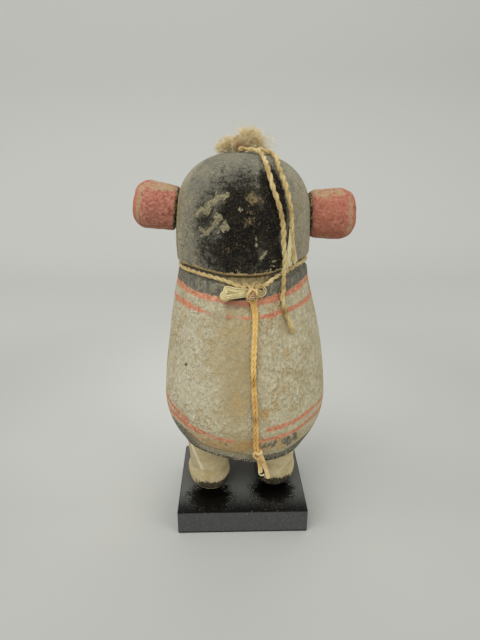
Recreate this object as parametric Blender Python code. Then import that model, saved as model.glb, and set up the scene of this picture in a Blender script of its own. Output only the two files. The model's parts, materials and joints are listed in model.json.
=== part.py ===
"""A carved and painted kachina doll on a black plinth block.

The doll is one piece of cottonwood: a helmet mask with a domed crown, a body
wrapped in a blanket, and two short legs with moccasins. Two round knobs are
the mask's ears. A tuft of down sits on the crown, and cotton cords hang from
it, go round the neck and hang down the back.

Metres, +Z up. The origin is the middle of the plinth's underside. The doll
faces +Y, so its tied back looks along -Y, and its lengths are written in mm.
"""

import math

import bmesh
import bpy
from mathutils import Matrix, Vector

MM = 0.001

# The plinth block
PLINTH_WIDTH = 50.0 * MM
PLINTH_DEPTH = 44.0 * MM
PLINTH_HEIGHT = 10.0 * MM
PLINTH_EDGE = 0.5 * MM

# The space that touching pieces keep
SEAT_GAP = 0.3 * MM

# The carved doll, as a stack of heights from the soles up
LEG_HEIGHT = 24.8 * MM
BELLY_RISE = 17.2 * MM
BACK_RISE = 47.0 * MM
NECK_HEIGHT = 3.2 * MM
MASK_WALL = 12.8 * MM
DOME_RISE = 24.0 * MM

# Its radii, from the hem to the mask, and how deep the neck is cut
HEM_RADIUS = 24.9 * MM
BELLY_RADIUS = 30.7 * MM
SHOULDER_RADIUS = 22.9 * MM
NECK_CUT = 1.7 * MM
MASK_RADIUS = 23.4 * MM

# How its curves are cut: the powers of its outlines, and its rounded edges
BELLY_CURVE = 2.1
BACK_CURVE = 1.5
DOME_CURVE = 2.45
HEM_ROUND = 1.6 * MM
RIM_ROUND = 1.0 * MM

# Where the hand carving is off the turned form: from the middle of the back
# and the front the rim rises to both sides, more so at +X, and the body stands
# a little to that side of the mask
RIM_ARCH = 2.3 * MM
RIM_TILT = 1.15 * MM
ARCH_FROM = 8.0
ARCH_TO = 58.0
RIM_FADE = 16.0 * MM
SHOULDER_FADE = 2.5 * MM
BODY_SHIFT = 0.9 * MM
AXIS_X = 0.3 * MM

# The blanket's free edge, down the front
FLAP_STEP = 0.8 * MM
FLAP_BEARING = 172.0
FLAP_FADE = 55.0

FIGURE_SIDES = 56

# The legs and their moccasins. One foot stands a little ahead of the other.
# The ankle is that far above the foot, and the calf's widest place that far
# below the hem.
LEG_SPACING = 25.9 * MM
LEG_MIDDLE = 0.35 * MM
HEELS_Y = {-1: -9.9 * MM, 1: -7.9 * MM}
FOOT_LENGTH = 24.0 * MM
FOOT_WIDTH = 17.2 * MM
FOOT_HEIGHT = 6.4 * MM
ANKLE_RISE = 1.6 * MM
ANKLE_WIDTH = 15.4 * MM
ANKLE_DEPTH = 15.6 * MM
CALF_DROP = 5.8 * MM
CALF_WIDTH = 17.6 * MM
CALF_DEPTH = 19.0 * MM
CALF_SETBACK = 0.9 * MM
FOOT_SPLAY = 0.08
LEG_SIDES = 24

# The ears: side, height of the middle above the rim, radius, length, tilt of
# the outer end in degrees, and rounding of the inner end
EARS = {
    "ear_left": (-1, 19.3 * MM, 8.1 * MM, 15.0 * MM, 9.0, 1.4 * MM),
    "ear_right": (1, 16.3 * MM, 8.8 * MM, 16.6 * MM, 0.5, 3.2 * MM),
}
EAR_MIDDLE_Y = 0.5 * MM
EAR_SINK = 0.8 * MM
EAR_OUTER_ROUND = 5.2 * MM
EAR_TAPER = 0.06
EAR_DOME = 0.08
EAR_SIDES = 24

# The tuft of down on the crown: across, along Y and up from the crown, then
# the half sizes, for each of its lobes
TUFT_LOBES = [
    ((-4.0 * MM, 1.2 * MM, 1.6 * MM), (3.6 * MM, 3.4 * MM, 2.6 * MM)),
    ((2.2 * MM, 1.4 * MM, 2.4 * MM), (5.2 * MM, 4.0 * MM, 4.2 * MM)),
    ((6.4 * MM, 1.6 * MM, 1.2 * MM), (2.8 * MM, 3.2 * MM, 2.4 * MM)),
]

# The cords
CROWN_CORD = 1.6 * MM
NECK_CORD = 1.3 * MM
HANGING_CORD = 1.2 * MM
CORD_ROUNDNESS = 2

# The crown cords' routes. Over the crown they are written as a bearing from the
# middle of the back in degrees and a distance from the doll's axis. Lower down
# they are a bearing and a height above the soles. The long one passes over the
# neck cord.
LONG_OVER_CROWN = [
    (-22.0, 4.6 * MM),
    (8.0, 5.0 * MM),
    (27.0, 6.5 * MM),
    (33.0, 9.2 * MM),
]
LONG_DOWN_MASK = [
    (25.0, 125.6 * MM),
    (22.4, 122.2 * MM),
    (22.6, 118.7 * MM),
    (24.7, 115.2 * MM),
    (27.0, 111.4 * MM),
    (28.9, 106.6 * MM),
    (29.6, 101.6 * MM),
    (31.0, 97.2 * MM),
]
LONG_OVER_NECK = [
    (31.6, 93.4 * MM),
    (31.8, 90.8 * MM),
]
LONG_DOWN_BODY = [
    (30.6, 87.2 * MM),
    (29.0, 84.0 * MM),
    (30.0, 80.0 * MM),
    (32.6, 75.8 * MM),
    (33.8, 72.6 * MM),
]
SHORT_OVER_CROWN = [
    (49.0, 6.0 * MM),
    (58.0, 8.0 * MM),
    (57.0, 10.6 * MM),
    (48.0, 13.4 * MM),
]
SHORT_DOWN_MASK = [
    (38.0, 124.2 * MM),
    (35.4, 121.4 * MM),
    (35.2, 118.2 * MM),
    (35.7, 114.6 * MM),
    (36.6, 111.0 * MM),
    (36.6, 107.0 * MM),
    (37.6, 102.6 * MM),
    (38.4, 99.0 * MM),
    (39.0, 96.2 * MM),
]

# The pair of strands that hangs from the bow: how far across its middle is at
# each height above the soles. They lie on the back down to the belly, hang
# straight below it, and part below their knot.
HANGING_ON_BACK = [
    (2.7 * MM, 85.0 * MM),
    (3.3 * MM, 81.5 * MM),
    (3.5 * MM, 78.0 * MM),
    (3.3 * MM, 72.0 * MM),
    (3.0 * MM, 66.0 * MM),
    (3.0 * MM, 61.0 * MM),
    (3.2 * MM, 55.0 * MM),
    (3.6 * MM, 48.6 * MM),
    (3.8 * MM, 43.0 * MM),
]
HANGING_FREE = [
    (3.95 * MM, 38.0 * MM),
    (4.1 * MM, 34.0 * MM),
]
LEFT_TAIL = [(4.2 * MM, 30.5 * MM), (4.7 * MM, 27.5 * MM), (4.9 * MM, 24.4 * MM)]
RIGHT_TAIL = [(6.0 * MM, 30.5 * MM), (7.3 * MM, 26.4 * MM), (8.7 * MM, 21.6 * MM)]

# The neck cord lies that far below the rim. The knot of its bow hangs that far
# below the shoulder, and the bow's two loops have a side, a reach and a width.
CORD_BELOW_RIM = 1.7 * MM
KNOT_BEARING = 4.8
KNOT_DROP = 1.4 * MM
KNOT_SIZE = (3.2 * MM, 2.4 * MM, 3.6 * MM)
KNOT_GAP = 0.5 * MM
BOW_LOOPS = {
    "bow_tool_left": (-1, 9.2 * MM, 2.6 * MM),
    "bow_tool_right": (1, 4.4 * MM, 2.4 * MM),
}
BOW_SAG = 0.12
DROOP_NARROWNESS = 30

# Heights above the soles, which stand on the plinth
SOLE_Z = PLINTH_HEIGHT + SEAT_GAP
NECK_RADIUS = SHOULDER_RADIUS - NECK_CUT
HEM = LEG_HEIGHT
BELLY = HEM + BELLY_RISE
SHOULDER = BELLY + BACK_RISE
RIM = SHOULDER + NECK_HEIGHT
SPRING = RIM + MASK_WALL
CROWN = SPRING + DOME_RISE


def clear_scene():
    for old in list(bpy.data.objects):
        bpy.data.objects.remove(old, do_unlink=True)


def material(name, colour, roughness):
    made = bpy.data.materials.new(name)
    made.use_nodes = True
    shader = made.node_tree.nodes["Principled BSDF"]
    shader.inputs["Base Color"].default_value = (*colour, 1.0)
    shader.inputs["Roughness"].default_value = roughness
    shader.inputs["Metallic"].default_value = 0.0
    return made


def add_object(name, data, made_of=None):
    piece = bpy.data.objects.new(name, data)
    bpy.context.scene.collection.objects.link(piece)
    if made_of:
        data.materials.append(made_of)
    return piece


def mesh_from(bm, name):
    bmesh.ops.recalc_face_normals(bm, faces=bm.faces)
    data = bpy.data.meshes.new(name)
    bm.to_mesh(data)
    bm.free()
    data.shade_smooth()
    data.set_sharp_from_angle(angle=math.radians(50))
    return data


def hide_tool(piece):
    piece.hide_render = True
    piece.display_type = "WIRE"


def combine(piece, tool, operation):
    modifier = piece.modifiers.new(operation.title(), "BOOLEAN")
    modifier.operation = operation
    modifier.solver = "EXACT"
    modifier.object = tool
    hide_tool(tool)


def smooth_step(value, low, high):
    share = min(1.0, max(0.0, (value - low) / (high - low)))
    return share * share * (3 - 2 * share)


def figure_radius(height):
    """The turned radius of the body and mask at a height above the soles."""
    if height >= SPRING:
        share = min(1.0, (height - SPRING) / DOME_RISE)
        return MASK_RADIUS * (1 - share**DOME_CURVE) ** (1 / DOME_CURVE)
    if height >= RIM:
        return MASK_RADIUS
    if height > SHOULDER:
        return NECK_RADIUS
    if height >= BELLY:
        share = (height - BELLY) / BACK_RISE
        return BELLY_RADIUS - (BELLY_RADIUS - SHOULDER_RADIUS) * share**BACK_CURVE
    share = min(1.0, (BELLY - height) / BELLY_RISE)
    return BELLY_RADIUS - (BELLY_RADIUS - HEM_RADIUS) * share**BELLY_CURVE


def middle_x(height):
    """Where the figure's axis is across: the body sits a little to one side."""
    return AXIS_X + BODY_SHIFT * (1 - smooth_step(height, BELLY + BELLY_RISE, SHOULDER))


def rim_lift(bearing, height):
    """How far the carver's rim is above the turned one, near the neck and the rim."""
    if height > RIM:
        near = 1 - smooth_step(height, RIM, RIM + RIM_FADE)
    else:
        near = smooth_step(height, SHOULDER - SHOULDER_FADE, RIM - 0.3 * NECK_HEIGHT)
    aside = math.sin(math.radians(bearing))
    arch = smooth_step(math.degrees(math.asin(abs(aside))), ARCH_FROM, ARCH_TO)
    return near * arch * (RIM_ARCH + RIM_TILT * aside)


def figure_outline():
    """(radius, height) up the turned outline, from under the hem to the crown."""
    points = [(0.0, HEM - HEM_ROUND), (HEM_RADIUS * 0.5, HEM - HEM_ROUND)]
    points += [(HEM_RADIUS - HEM_ROUND, HEM - HEM_ROUND * 0.9)]
    points += [(HEM_RADIUS - HEM_ROUND * 0.3, HEM - HEM_ROUND * 0.5)]
    belly_steps, back_steps, dome_steps = 6, 9, 11
    for i in range(belly_steps):
        height = HEM + BELLY_RISE * i / belly_steps
        points.append((figure_radius(height), height))
    for i in range(back_steps + 1):
        height = BELLY + BACK_RISE * i / back_steps
        points.append((figure_radius(height), height))
    groove = min(0.2 * NECK_HEIGHT, RIM_ROUND)
    points.append((NECK_RADIUS, SHOULDER + groove))
    points.append((NECK_RADIUS, RIM - groove))
    points.append((MASK_RADIUS - RIM_ROUND * 0.7, RIM))
    points.append((MASK_RADIUS - RIM_ROUND * 0.1, RIM + RIM_ROUND))
    points.append((MASK_RADIUS + 0.1 * RIM_ROUND, RIM + 0.45 * MASK_WALL))
    for i in range(dome_steps):
        height = SPRING + DOME_RISE * math.sin(math.pi / 2 * i / dome_steps)
        points.append((figure_radius(height), height))
    points.append((0.0, CROWN))
    return points


def flap_lift(bearing, height):
    """The blanket's free edge stands proud at the front and fades round to one side."""
    behind = (bearing - FLAP_BEARING) % 360.0
    if behind > FLAP_FADE:
        return 0.0
    on_body = smooth_step(height, HEM - HEM_ROUND, HEM + HEM_ROUND) * (
        1 - smooth_step(height, SHOULDER - 3 * RIM_ROUND, SHOULDER)
    )
    return FLAP_STEP * on_body * (1 - behind / FLAP_FADE)


def carved(point, height):
    """The turned point moved to where the carver left it."""
    bearing = math.degrees(math.atan2(point.x, -point.y)) % 360.0
    radius = math.hypot(point.x, point.y)
    if radius > HEM_RADIUS * 0.6:
        scale = 1 + flap_lift(bearing, height) / radius
        point = Vector((point.x * scale, point.y * scale, point.z))
    raised = point.z + rim_lift(bearing, height) + SOLE_Z
    return Vector((point.x + middle_x(height), point.y, raised))


def turned_body(name, skin=0.0):
    """The body and mask with a skin of that thickness, turned and then carved."""
    bm = bmesh.new()
    verts = []
    for radius, height in figure_outline():
        spread = skin / MASK_RADIUS if height > SPRING else skin / max(radius, HEM_RADIUS)
        rise = skin * max(0.0, height - SPRING) / DOME_RISE
        verts.append(bm.verts.new((0.0, -radius * (1 + spread), height + rise)))
    edges = [bm.edges.new(pair) for pair in zip(verts, verts[1:])]
    bmesh.ops.spin(
        bm,
        geom=verts + edges,
        cent=(0, 0, 0),
        axis=(0, 0, 1),
        angle=math.tau,
        steps=FIGURE_SIDES,
        use_merge=True,
    )
    bmesh.ops.remove_doubles(bm, verts=bm.verts, dist=0.001 * MM)
    for vert in bm.verts:
        vert.co = carved(vert.co.copy(), vert.co.z)
    return mesh_from(bm, name)


def leg_stations(heel):
    """(height, width, depth, back, squareness) of a leg's sections, from the sole up."""
    ankle = FOOT_HEIGHT + ANKLE_RISE
    calf = HEM - CALF_DROP
    shin_width = 0.5 * (ANKLE_WIDTH + CALF_WIDTH)
    shin_depth = 0.5 * (ANKLE_DEPTH + CALF_DEPTH)
    back = heel - CALF_SETBACK
    return [
        (0.0, FOOT_WIDTH * 0.84, FOOT_LENGTH * 0.94, heel + 0.03 * FOOT_LENGTH, 2.2),
        (0.2 * FOOT_HEIGHT, FOOT_WIDTH * 0.97, FOOT_LENGTH, heel, 2.2),
        (0.55 * FOOT_HEIGHT, FOOT_WIDTH, FOOT_LENGTH * 0.97, heel, 2.2),
        (0.9 * FOOT_HEIGHT, FOOT_WIDTH * 0.96, FOOT_LENGTH * 0.8, heel, 2.1),
        (ankle, ANKLE_WIDTH, ANKLE_DEPTH, heel + 0.5 * CALF_SETBACK, 2.2),
        (0.5 * (ankle + calf), shin_width, shin_depth, heel, 2.5),
        (calf, CALF_WIDTH, CALF_DEPTH, back, 3.0),
        (0.5 * (HEM + BELLY), CALF_WIDTH, CALF_DEPTH, back, 3.0),
    ]


def leg_section(station, heel, side):
    """One closed section of a leg, as points: a squared-off ellipse."""
    height, width, depth, back, squareness = station
    centre = LEG_MIDDLE + side * LEG_SPACING / 2
    turn_out = side * FOOT_SPLAY * (1 - smooth_step(height, FOOT_HEIGHT, HEM))
    points = []
    for i in range(LEG_SIDES):
        angle = math.tau * i / LEG_SIDES
        c, s = math.cos(angle), math.sin(angle)
        x = math.copysign(abs(c) ** (2 / squareness), c) * width / 2
        y = math.copysign(abs(s) ** (2 / squareness), s) * depth / 2 + back + depth / 2
        points.append(Vector((centre + x + turn_out * (y - heel), y, height + SOLE_Z)))
    return points


def leg(name, side):
    """A leg and its moccasin, as one loft from the sole up into the body."""
    bm = bmesh.new()
    heel = HEELS_Y[side]
    rings = []
    for station in leg_stations(heel):
        rings.append([bm.verts.new(place) for place in leg_section(station, heel, side)])
    for lower, upper in zip(rings, rings[1:]):
        for i in range(LEG_SIDES):
            j = (i + 1) % LEG_SIDES
            bm.faces.new((lower[i], lower[j], upper[j], upper[i]))
    bm.faces.new(rings[0])
    bm.faces.new(rings[-1])
    return mesh_from(bm, name)


def add_figure(made_of):
    figure = add_object("figure", turned_body("figure"), made_of)
    for name, side in (("leg_tool_left", -1), ("leg_tool_right", 1)):
        combine(figure, add_object(name, leg(name, side)), "UNION")
    return figure


def add_clearance():
    """The body and mask with a thin skin, which cuts what seats on them."""
    return add_object("clearance_tool", turned_body("clearance_tool", SEAT_GAP))


def ear_outline(radius, length, inner_round):
    """(distance from the inner end, radius) along a turned knob."""
    inner_steps, outer_steps = 3, 6
    outer = min(EAR_OUTER_ROUND, 0.6 * radius)
    points = [(0.0, 0.0)]
    for i in range(inner_steps + 1):
        angle = math.pi / 2 * i / inner_steps
        points.append(
            (
                inner_round * (1 - math.cos(angle)),
                radius * (1 - EAR_TAPER) - inner_round * (1 - math.sin(angle)),
            )
        )
    for i in range(outer_steps + 1):
        angle = math.pi / 2 * i / outer_steps
        points.append(
            (
                length - outer * (1 - math.sin(angle)),
                radius - outer * (1 - math.cos(angle)),
            )
        )
    points.append((length + EAR_DOME * radius, 0.0))
    return points


def add_ear(name, made_of, clearance):
    side, rise, radius, length, tilt, inner_round = EARS[name]
    middle = RIM + rise
    turn = math.radians(tilt)
    inner = figure_radius(middle) - EAR_SINK
    bm = bmesh.new()
    verts = [bm.verts.new((x, 0.0, z)) for x, z in ear_outline(radius, length, inner_round)]
    edges = [bm.edges.new(pair) for pair in zip(verts, verts[1:])]
    bmesh.ops.spin(
        bm,
        geom=verts + edges,
        cent=(0, 0, 0),
        axis=(1, 0, 0),
        angle=math.tau,
        steps=EAR_SIDES,
        use_merge=True,
    )
    bmesh.ops.remove_doubles(bm, verts=bm.verts, dist=0.001 * MM)
    bmesh.ops.rotate(bm, verts=bm.verts, matrix=Matrix.Rotation(-turn, 3, "Y"))
    bmesh.ops.translate(
        bm,
        verts=bm.verts,
        vec=(inner, EAR_MIDDLE_Y, middle + SOLE_Z - 0.5 * length * math.sin(turn)),
    )
    if side < 0:
        bmesh.ops.scale(bm, verts=bm.verts, vec=(-1, 1, 1))
    ear = add_object(name, mesh_from(bm, name), made_of)
    combine(ear, clearance, "DIFFERENCE")
    return ear


def lobe(name, centre, half):
    bm = bmesh.new()
    bmesh.ops.create_icosphere(bm, subdivisions=3, radius=1.0)
    bmesh.ops.scale(bm, verts=bm.verts, vec=half)
    bmesh.ops.translate(bm, verts=bm.verts, vec=centre)
    return mesh_from(bm, name)


def add_tuft(made_of, clearance):
    tuft = None
    for index, (place, half) in enumerate(TUFT_LOBES):
        centre = Vector(place) + Vector((AXIS_X, 0.0, CROWN + SOLE_Z))
        name = "crown_tuft" if tuft is None else f"tuft_tool_{index}"
        made = add_object(name, lobe(name, centre, half), made_of)
        if tuft is None:
            tuft = made
        else:
            combine(tuft, made, "UNION")
    combine(tuft, clearance, "DIFFERENCE")
    return tuft


def off_figure(bearing, height, lift):
    """A point that far off the figure, square to its side or its crown."""
    if height > RIM + RIM_FADE:
        radius = figure_radius(height)
        outward = (radius / MASK_RADIUS) ** (DOME_CURVE - 1) / MASK_RADIUS
        upward = ((height - SPRING) / DOME_RISE) ** (DOME_CURVE - 1) / DOME_RISE
        slope = math.hypot(outward, upward)
        radius += lift * outward / slope
        height += lift * upward / slope
    else:
        radius = figure_radius(height - rim_lift(bearing, height)) + lift
    angle = math.radians(bearing)
    x, y = radius * math.sin(angle), -radius * math.cos(angle)
    return Vector((middle_x(height) + x, y, height + SOLE_Z))


def over_crown(bearing, reach, lift):
    """A point that far off the mask's dome, at a distance from the figure's axis."""
    share = (1 - (reach / MASK_RADIUS) ** DOME_CURVE) ** (1 / DOME_CURVE)
    return off_figure(bearing, SPRING + DOME_RISE * share, lift)


def across(x, height, lift):
    """A point that far off the figure's back, at a distance across."""
    radius = figure_radius(height) + lift
    offset = x - middle_x(height)
    return Vector((x, -math.sqrt(radius * radius - offset * offset), height + SOLE_Z))


def smooth_route(points, spacing):
    """Points about that far apart on a smooth curve through the route's own points."""
    padded = [2 * points[0] - points[1], *points, 2 * points[-1] - points[-2]]
    fine = []
    pieces = 16
    for before, start, end, after in zip(padded, padded[1:], padded[2:], padded[3:]):
        for i in range(pieces):
            t = i / pieces
            fine.append(
                0.5
                * (
                    2 * start
                    + (end - before) * t
                    + (2 * before - 5 * start + 4 * end - after) * t * t
                    + (3 * start - before - 3 * end + after) * t * t * t
                )
            )
    fine.append(points[-1])
    lengths = [0.0]
    for start, end in zip(fine, fine[1:]):
        lengths.append(lengths[-1] + (end - start).length)
    count = max(3, round(lengths[-1] / spacing))
    spaced = []
    at = 0
    for i in range(count + 1):
        want = lengths[-1] * i / count
        while at < len(fine) - 2 and lengths[at + 1] < want:
            at += 1
        share = (want - lengths[at]) / max(lengths[at + 1] - lengths[at], 1e-9)
        spaced.append(fine[at].lerp(fine[at + 1], share))
    return spaced


def cord_curve(name, points, diameter):
    curve = bpy.data.curves.new(name, "CURVE")
    curve.dimensions = "3D"
    curve.bevel_depth = diameter / 2
    curve.bevel_resolution = CORD_ROUNDNESS
    curve.use_fill_caps = True
    spline = curve.splines.new("POLY")
    route = smooth_route(points, 2.2 * diameter)
    spline.points.add(len(route) - 1)
    for place, point in zip(spline.points, route):
        place.co = (*point, 1.0)
    return curve


def add_cord(name, points, diameter, made_of):
    return add_object(name, cord_curve(name, points, diameter), made_of)


def add_crown_cords(made_of):
    lift = CROWN_CORD / 2 + SEAT_GAP
    over_neck_cord = lift + NECK_CORD + SEAT_GAP
    points = [over_crown(bearing, reach, lift) for bearing, reach in LONG_OVER_CROWN]
    points += [off_figure(bearing, height, lift) for bearing, height in LONG_DOWN_MASK]
    points += [off_figure(bearing, height, over_neck_cord) for bearing, height in LONG_OVER_NECK]
    points += [off_figure(bearing, height, lift) for bearing, height in LONG_DOWN_BODY]
    add_cord("crown_cord_long", points, CROWN_CORD, made_of)
    points = [over_crown(bearing, reach, lift) for bearing, reach in SHORT_OVER_CROWN]
    points += [off_figure(bearing, height, lift) for bearing, height in SHORT_DOWN_MASK]
    add_cord("crown_cord_short", points, CROWN_CORD, made_of)


def add_hanging_cords(made_of):
    lift = HANGING_CORD / 2 + SEAT_GAP
    plumb = across(HANGING_ON_BACK[-1][0], HANGING_ON_BACK[-1][1], lift).y
    for name, side, tail in (
        ("hanging_cord_left", -1, LEFT_TAIL),
        ("hanging_cord_right", 1, RIGHT_TAIL),
    ):
        aside = side * (HANGING_CORD + SEAT_GAP) / 2
        points = [across(x + aside, height, lift) for x, height in HANGING_ON_BACK]
        points += [Vector((x + aside, plumb, height + SOLE_Z)) for x, height in HANGING_FREE]
        points += [Vector((x, plumb, height + SOLE_Z)) for x, height in tail]
        add_cord(name, points, HANGING_CORD, made_of)


def knot_place():
    return off_figure(KNOT_BEARING, SHOULDER - KNOT_DROP, KNOT_SIZE[1] / 2 + KNOT_GAP)


def neck_route():
    """Round the neck from one side of the knot to the other, drooping at the back."""
    under_rim = RIM - CORD_BELOW_RIM
    low = SHOULDER - KNOT_DROP + 0.25 * KNOT_SIZE[2]
    in_groove = NECK_RADIUS + NECK_CORD / 2 + SEAT_GAP
    on_shoulder = SHOULDER_RADIUS + NECK_CORD / 2 + KNOT_GAP
    inside_knot = math.degrees(0.5 * KNOT_SIZE[0] / on_shoulder)
    points = []
    steps = 48
    for i in range(steps + 1):
        turn = inside_knot + (360 - 2 * inside_knot) * i / steps
        droop = max(0.0, math.cos(math.radians(turn))) ** DROOP_NARROWNESS
        radius = in_groove + (on_shoulder - in_groove) * smooth_step(droop, 0.0, 0.6)
        rise = rim_lift(KNOT_BEARING + turn, RIM) * (1 - droop)
        height = under_rim + (low - under_rim) * droop + rise
        angle = math.radians(KNOT_BEARING + turn)
        x, y = radius * math.sin(angle), -radius * math.cos(angle)
        points.append(Vector((x + middle_x(height), y, height + SOLE_Z)))
    return points


def bow_loop(side, reach, width):
    """A hairpin loop of the neck cord that lies on the shoulder beside the knot."""
    lift = NECK_CORD / 2 + KNOT_GAP
    points = []
    steps = 14
    for i in range(steps + 1):
        angle = math.pi * i / steps
        along = reach * math.sin(angle) ** 0.7
        height = SHOULDER - KNOT_DROP + width / 2 * math.cos(angle) - BOW_SAG * along
        bearing = KNOT_BEARING + side * math.degrees(along / SHOULDER_RADIUS)
        points.append(off_figure(bearing, height, lift))
    return points


def cord_mesh(name, points):
    """A drawn cord as a closed mesh, which a Boolean can join to others."""
    drawn = add_object(f"{name}_drawn", cord_curve(name, points, NECK_CORD))
    bpy.context.view_layer.update()
    evaluated = drawn.evaluated_get(bpy.context.evaluated_depsgraph_get())
    made = bpy.data.meshes.new_from_object(evaluated)
    made.name = name
    bpy.data.objects.remove(drawn, do_unlink=True)
    return made


def add_neck_cord(made_of):
    """The tied cord: its round, its knot and its two bow loops are one length of cord."""
    cord = add_object("neck_cord", cord_mesh("neck_cord", neck_route()), made_of)
    knot = lobe("knot_tool", knot_place(), Vector(KNOT_SIZE) / 2)
    combine(cord, add_object("knot_tool", knot), "UNION")
    for name, (side, reach, width) in BOW_LOOPS.items():
        loop = cord_mesh(name, bow_loop(side, reach, width))
        combine(cord, add_object(name, loop), "UNION")


def add_plinth(made_of):
    bm = bmesh.new()
    bmesh.ops.create_cube(bm, size=1.0)
    bmesh.ops.scale(bm, verts=bm.verts, vec=(PLINTH_WIDTH, PLINTH_DEPTH, PLINTH_HEIGHT))
    bmesh.ops.translate(bm, verts=bm.verts, vec=(0, 0, PLINTH_HEIGHT / 2))
    plinth = add_object("plinth", mesh_from(bm, "plinth"), made_of)
    bevel = plinth.modifiers.new("Eased edges", "BEVEL")
    bevel.width = PLINTH_EDGE
    bevel.segments = 2
    bevel.limit_method = "ANGLE"
    return plinth


def main():
    clear_scene()
    kaolin = material("painted cottonwood", (0.46, 0.41, 0.26), 0.9)
    red = material("red painted cottonwood", (0.46, 0.12, 0.08), 0.9)
    black = material("black lacquered wood", (0.03, 0.03, 0.03), 0.35)
    cotton = material("cotton cord", (0.55, 0.42, 0.2), 0.9)
    golden = material("golden cotton cord", (0.62, 0.36, 0.1), 0.9)
    down = material("down", (0.46, 0.33, 0.17), 0.95)
    add_plinth(black)
    add_figure(kaolin)
    clearance = add_clearance()
    for name in EARS:
        add_ear(name, red, clearance)
    add_tuft(down, clearance)
    add_crown_cords(cotton)
    add_neck_cord(cotton)
    add_hanging_cords(golden)


main()
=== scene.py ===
"""The looks of a carved and painted kachina doll on a black plinth.

Metres, +Z up. The doll faces +Y, and the camera looks at its tied back.
Heights are above the doll's soles unless a name says otherwise, and bearings
are degrees from the middle of the back towards +X.
"""

import json
import math
import random

import bmesh
import bpy
import numpy as np
from mathutils import Matrix, Vector, noise

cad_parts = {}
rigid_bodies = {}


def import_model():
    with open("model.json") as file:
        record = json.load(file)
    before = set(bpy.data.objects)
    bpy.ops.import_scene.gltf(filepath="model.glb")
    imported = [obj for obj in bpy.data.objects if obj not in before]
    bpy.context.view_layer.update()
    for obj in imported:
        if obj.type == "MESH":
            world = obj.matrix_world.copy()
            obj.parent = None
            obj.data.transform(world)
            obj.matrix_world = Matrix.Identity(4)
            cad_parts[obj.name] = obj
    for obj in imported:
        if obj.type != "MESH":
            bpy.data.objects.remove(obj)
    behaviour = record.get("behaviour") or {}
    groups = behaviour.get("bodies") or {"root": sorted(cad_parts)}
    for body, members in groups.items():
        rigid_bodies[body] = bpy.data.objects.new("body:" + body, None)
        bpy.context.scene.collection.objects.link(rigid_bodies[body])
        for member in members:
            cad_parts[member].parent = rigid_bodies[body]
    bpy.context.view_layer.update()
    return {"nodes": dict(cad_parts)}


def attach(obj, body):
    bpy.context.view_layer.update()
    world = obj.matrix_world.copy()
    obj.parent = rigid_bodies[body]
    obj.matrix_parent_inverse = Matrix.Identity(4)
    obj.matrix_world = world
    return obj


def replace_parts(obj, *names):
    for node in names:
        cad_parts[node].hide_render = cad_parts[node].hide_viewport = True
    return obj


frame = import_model()
MM = 0.001


# The camera. It stands behind the doll and looks a little down on it, from
# where the plinth's corners in the photograph put it.
EYE = Vector((-5.2, -170.2, 140.3)) * MM
LOOKS_DOWN = 19.6
LOOKS_ASIDE = 1.53
HEAD_TILT = 0.12
FOCAL_PIXELS = 481
PICTURE_HEIGHT = 640
SENSOR = 36


def add_object(name, data):
    """A new object of that data in the scene."""
    made = bpy.data.objects.new(name, data)
    bpy.context.scene.collection.objects.link(made)
    return made


down_angle = math.radians(LOOKS_DOWN)
aside_angle = math.radians(LOOKS_ASIDE)
ahead = Vector(
    (
        math.sin(aside_angle) * math.cos(down_angle),
        math.cos(aside_angle) * math.cos(down_angle),
        -math.sin(down_angle),
    )
)
level = Vector((math.cos(aside_angle), -math.sin(aside_angle), 0))
tilt_angle = math.radians(HEAD_TILT)
rolled = level * math.cos(tilt_angle) + level.cross(ahead) * math.sin(tilt_angle)
eye = bpy.data.cameras.new("eye")
eye.sensor_width = SENSOR
eye.lens = SENSOR * FOCAL_PIXELS / PICTURE_HEIGHT
eye.clip_start = 0.01
camera = add_object("camera", eye)
turned_eye = Matrix((rolled, rolled.cross(ahead), -ahead)).transposed().to_4x4()
camera.matrix_world = Matrix.Translation(EYE) @ turned_eye
bpy.context.scene.camera = camera


# The two crown cords: two-ply twisted cotton, undyed and yellowed. They come out
# of the tuft's foot and lie on the mask. The long one crosses the neck cord and
# ends on the shoulder, and the short one ends at the neck cord.
SOLE = 10.3 * MM
HEM = 24.8 * MM
BELLY = 42.0 * MM
BELLY_RISE = 17.2 * MM
SHOULDER = 89.0 * MM
RIM = 92.2 * MM
SPRING = 105.0 * MM
CROWN = 129.0 * MM
HEM_RADIUS = 24.9 * MM
BELLY_RADIUS = 30.7 * MM
SHOULDER_RADIUS = 22.9 * MM
NECK_RADIUS = 21.2 * MM
MASK_RADIUS = 23.4 * MM
BELLY_CURVE = 2.1
BACK_CURVE = 1.5
DOME_CURVE = 2.45
RIM_ARCH = 2.3 * MM
RIM_TILT = 1.15 * MM
ARCH_FROM = 8.0
ARCH_TO = 58.0
RIM_FADE = 16 * MM
SHOULDER_FADE = 2.5 * MM
MASK_ASIDE = 0.3
BODY_ASIDE = 0.9
SEAT = 0.3 * MM
CROWN_CORD = 1.6 * MM
NECK_CORD = 1.3 * MM
LONG_OVER_CROWN = [(-22, 4.6), (8, 5.0), (27, 6.5), (33, 9.2)]
LONG_DOWN_MASK = [
    (25.0, 125.6),
    (22.4, 122.2),
    (22.6, 118.7),
    (24.7, 115.2),
    (27.0, 111.4),
    (28.9, 106.6),
    (29.6, 101.6),
    (31.0, 97.2),
]
LONG_OVER_NECK = [(31.6, 93.4), (31.8, 90.8)]
LONG_DOWN_BODY = [(30.6, 87.2), (29.0, 84.0), (30.0, 80.0), (32.6, 75.8), (33.8, 72.6)]
SHORT_OVER_CROWN = [(49, 6.0), (58, 8.0), (57, 10.6), (48, 13.4)]
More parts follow.
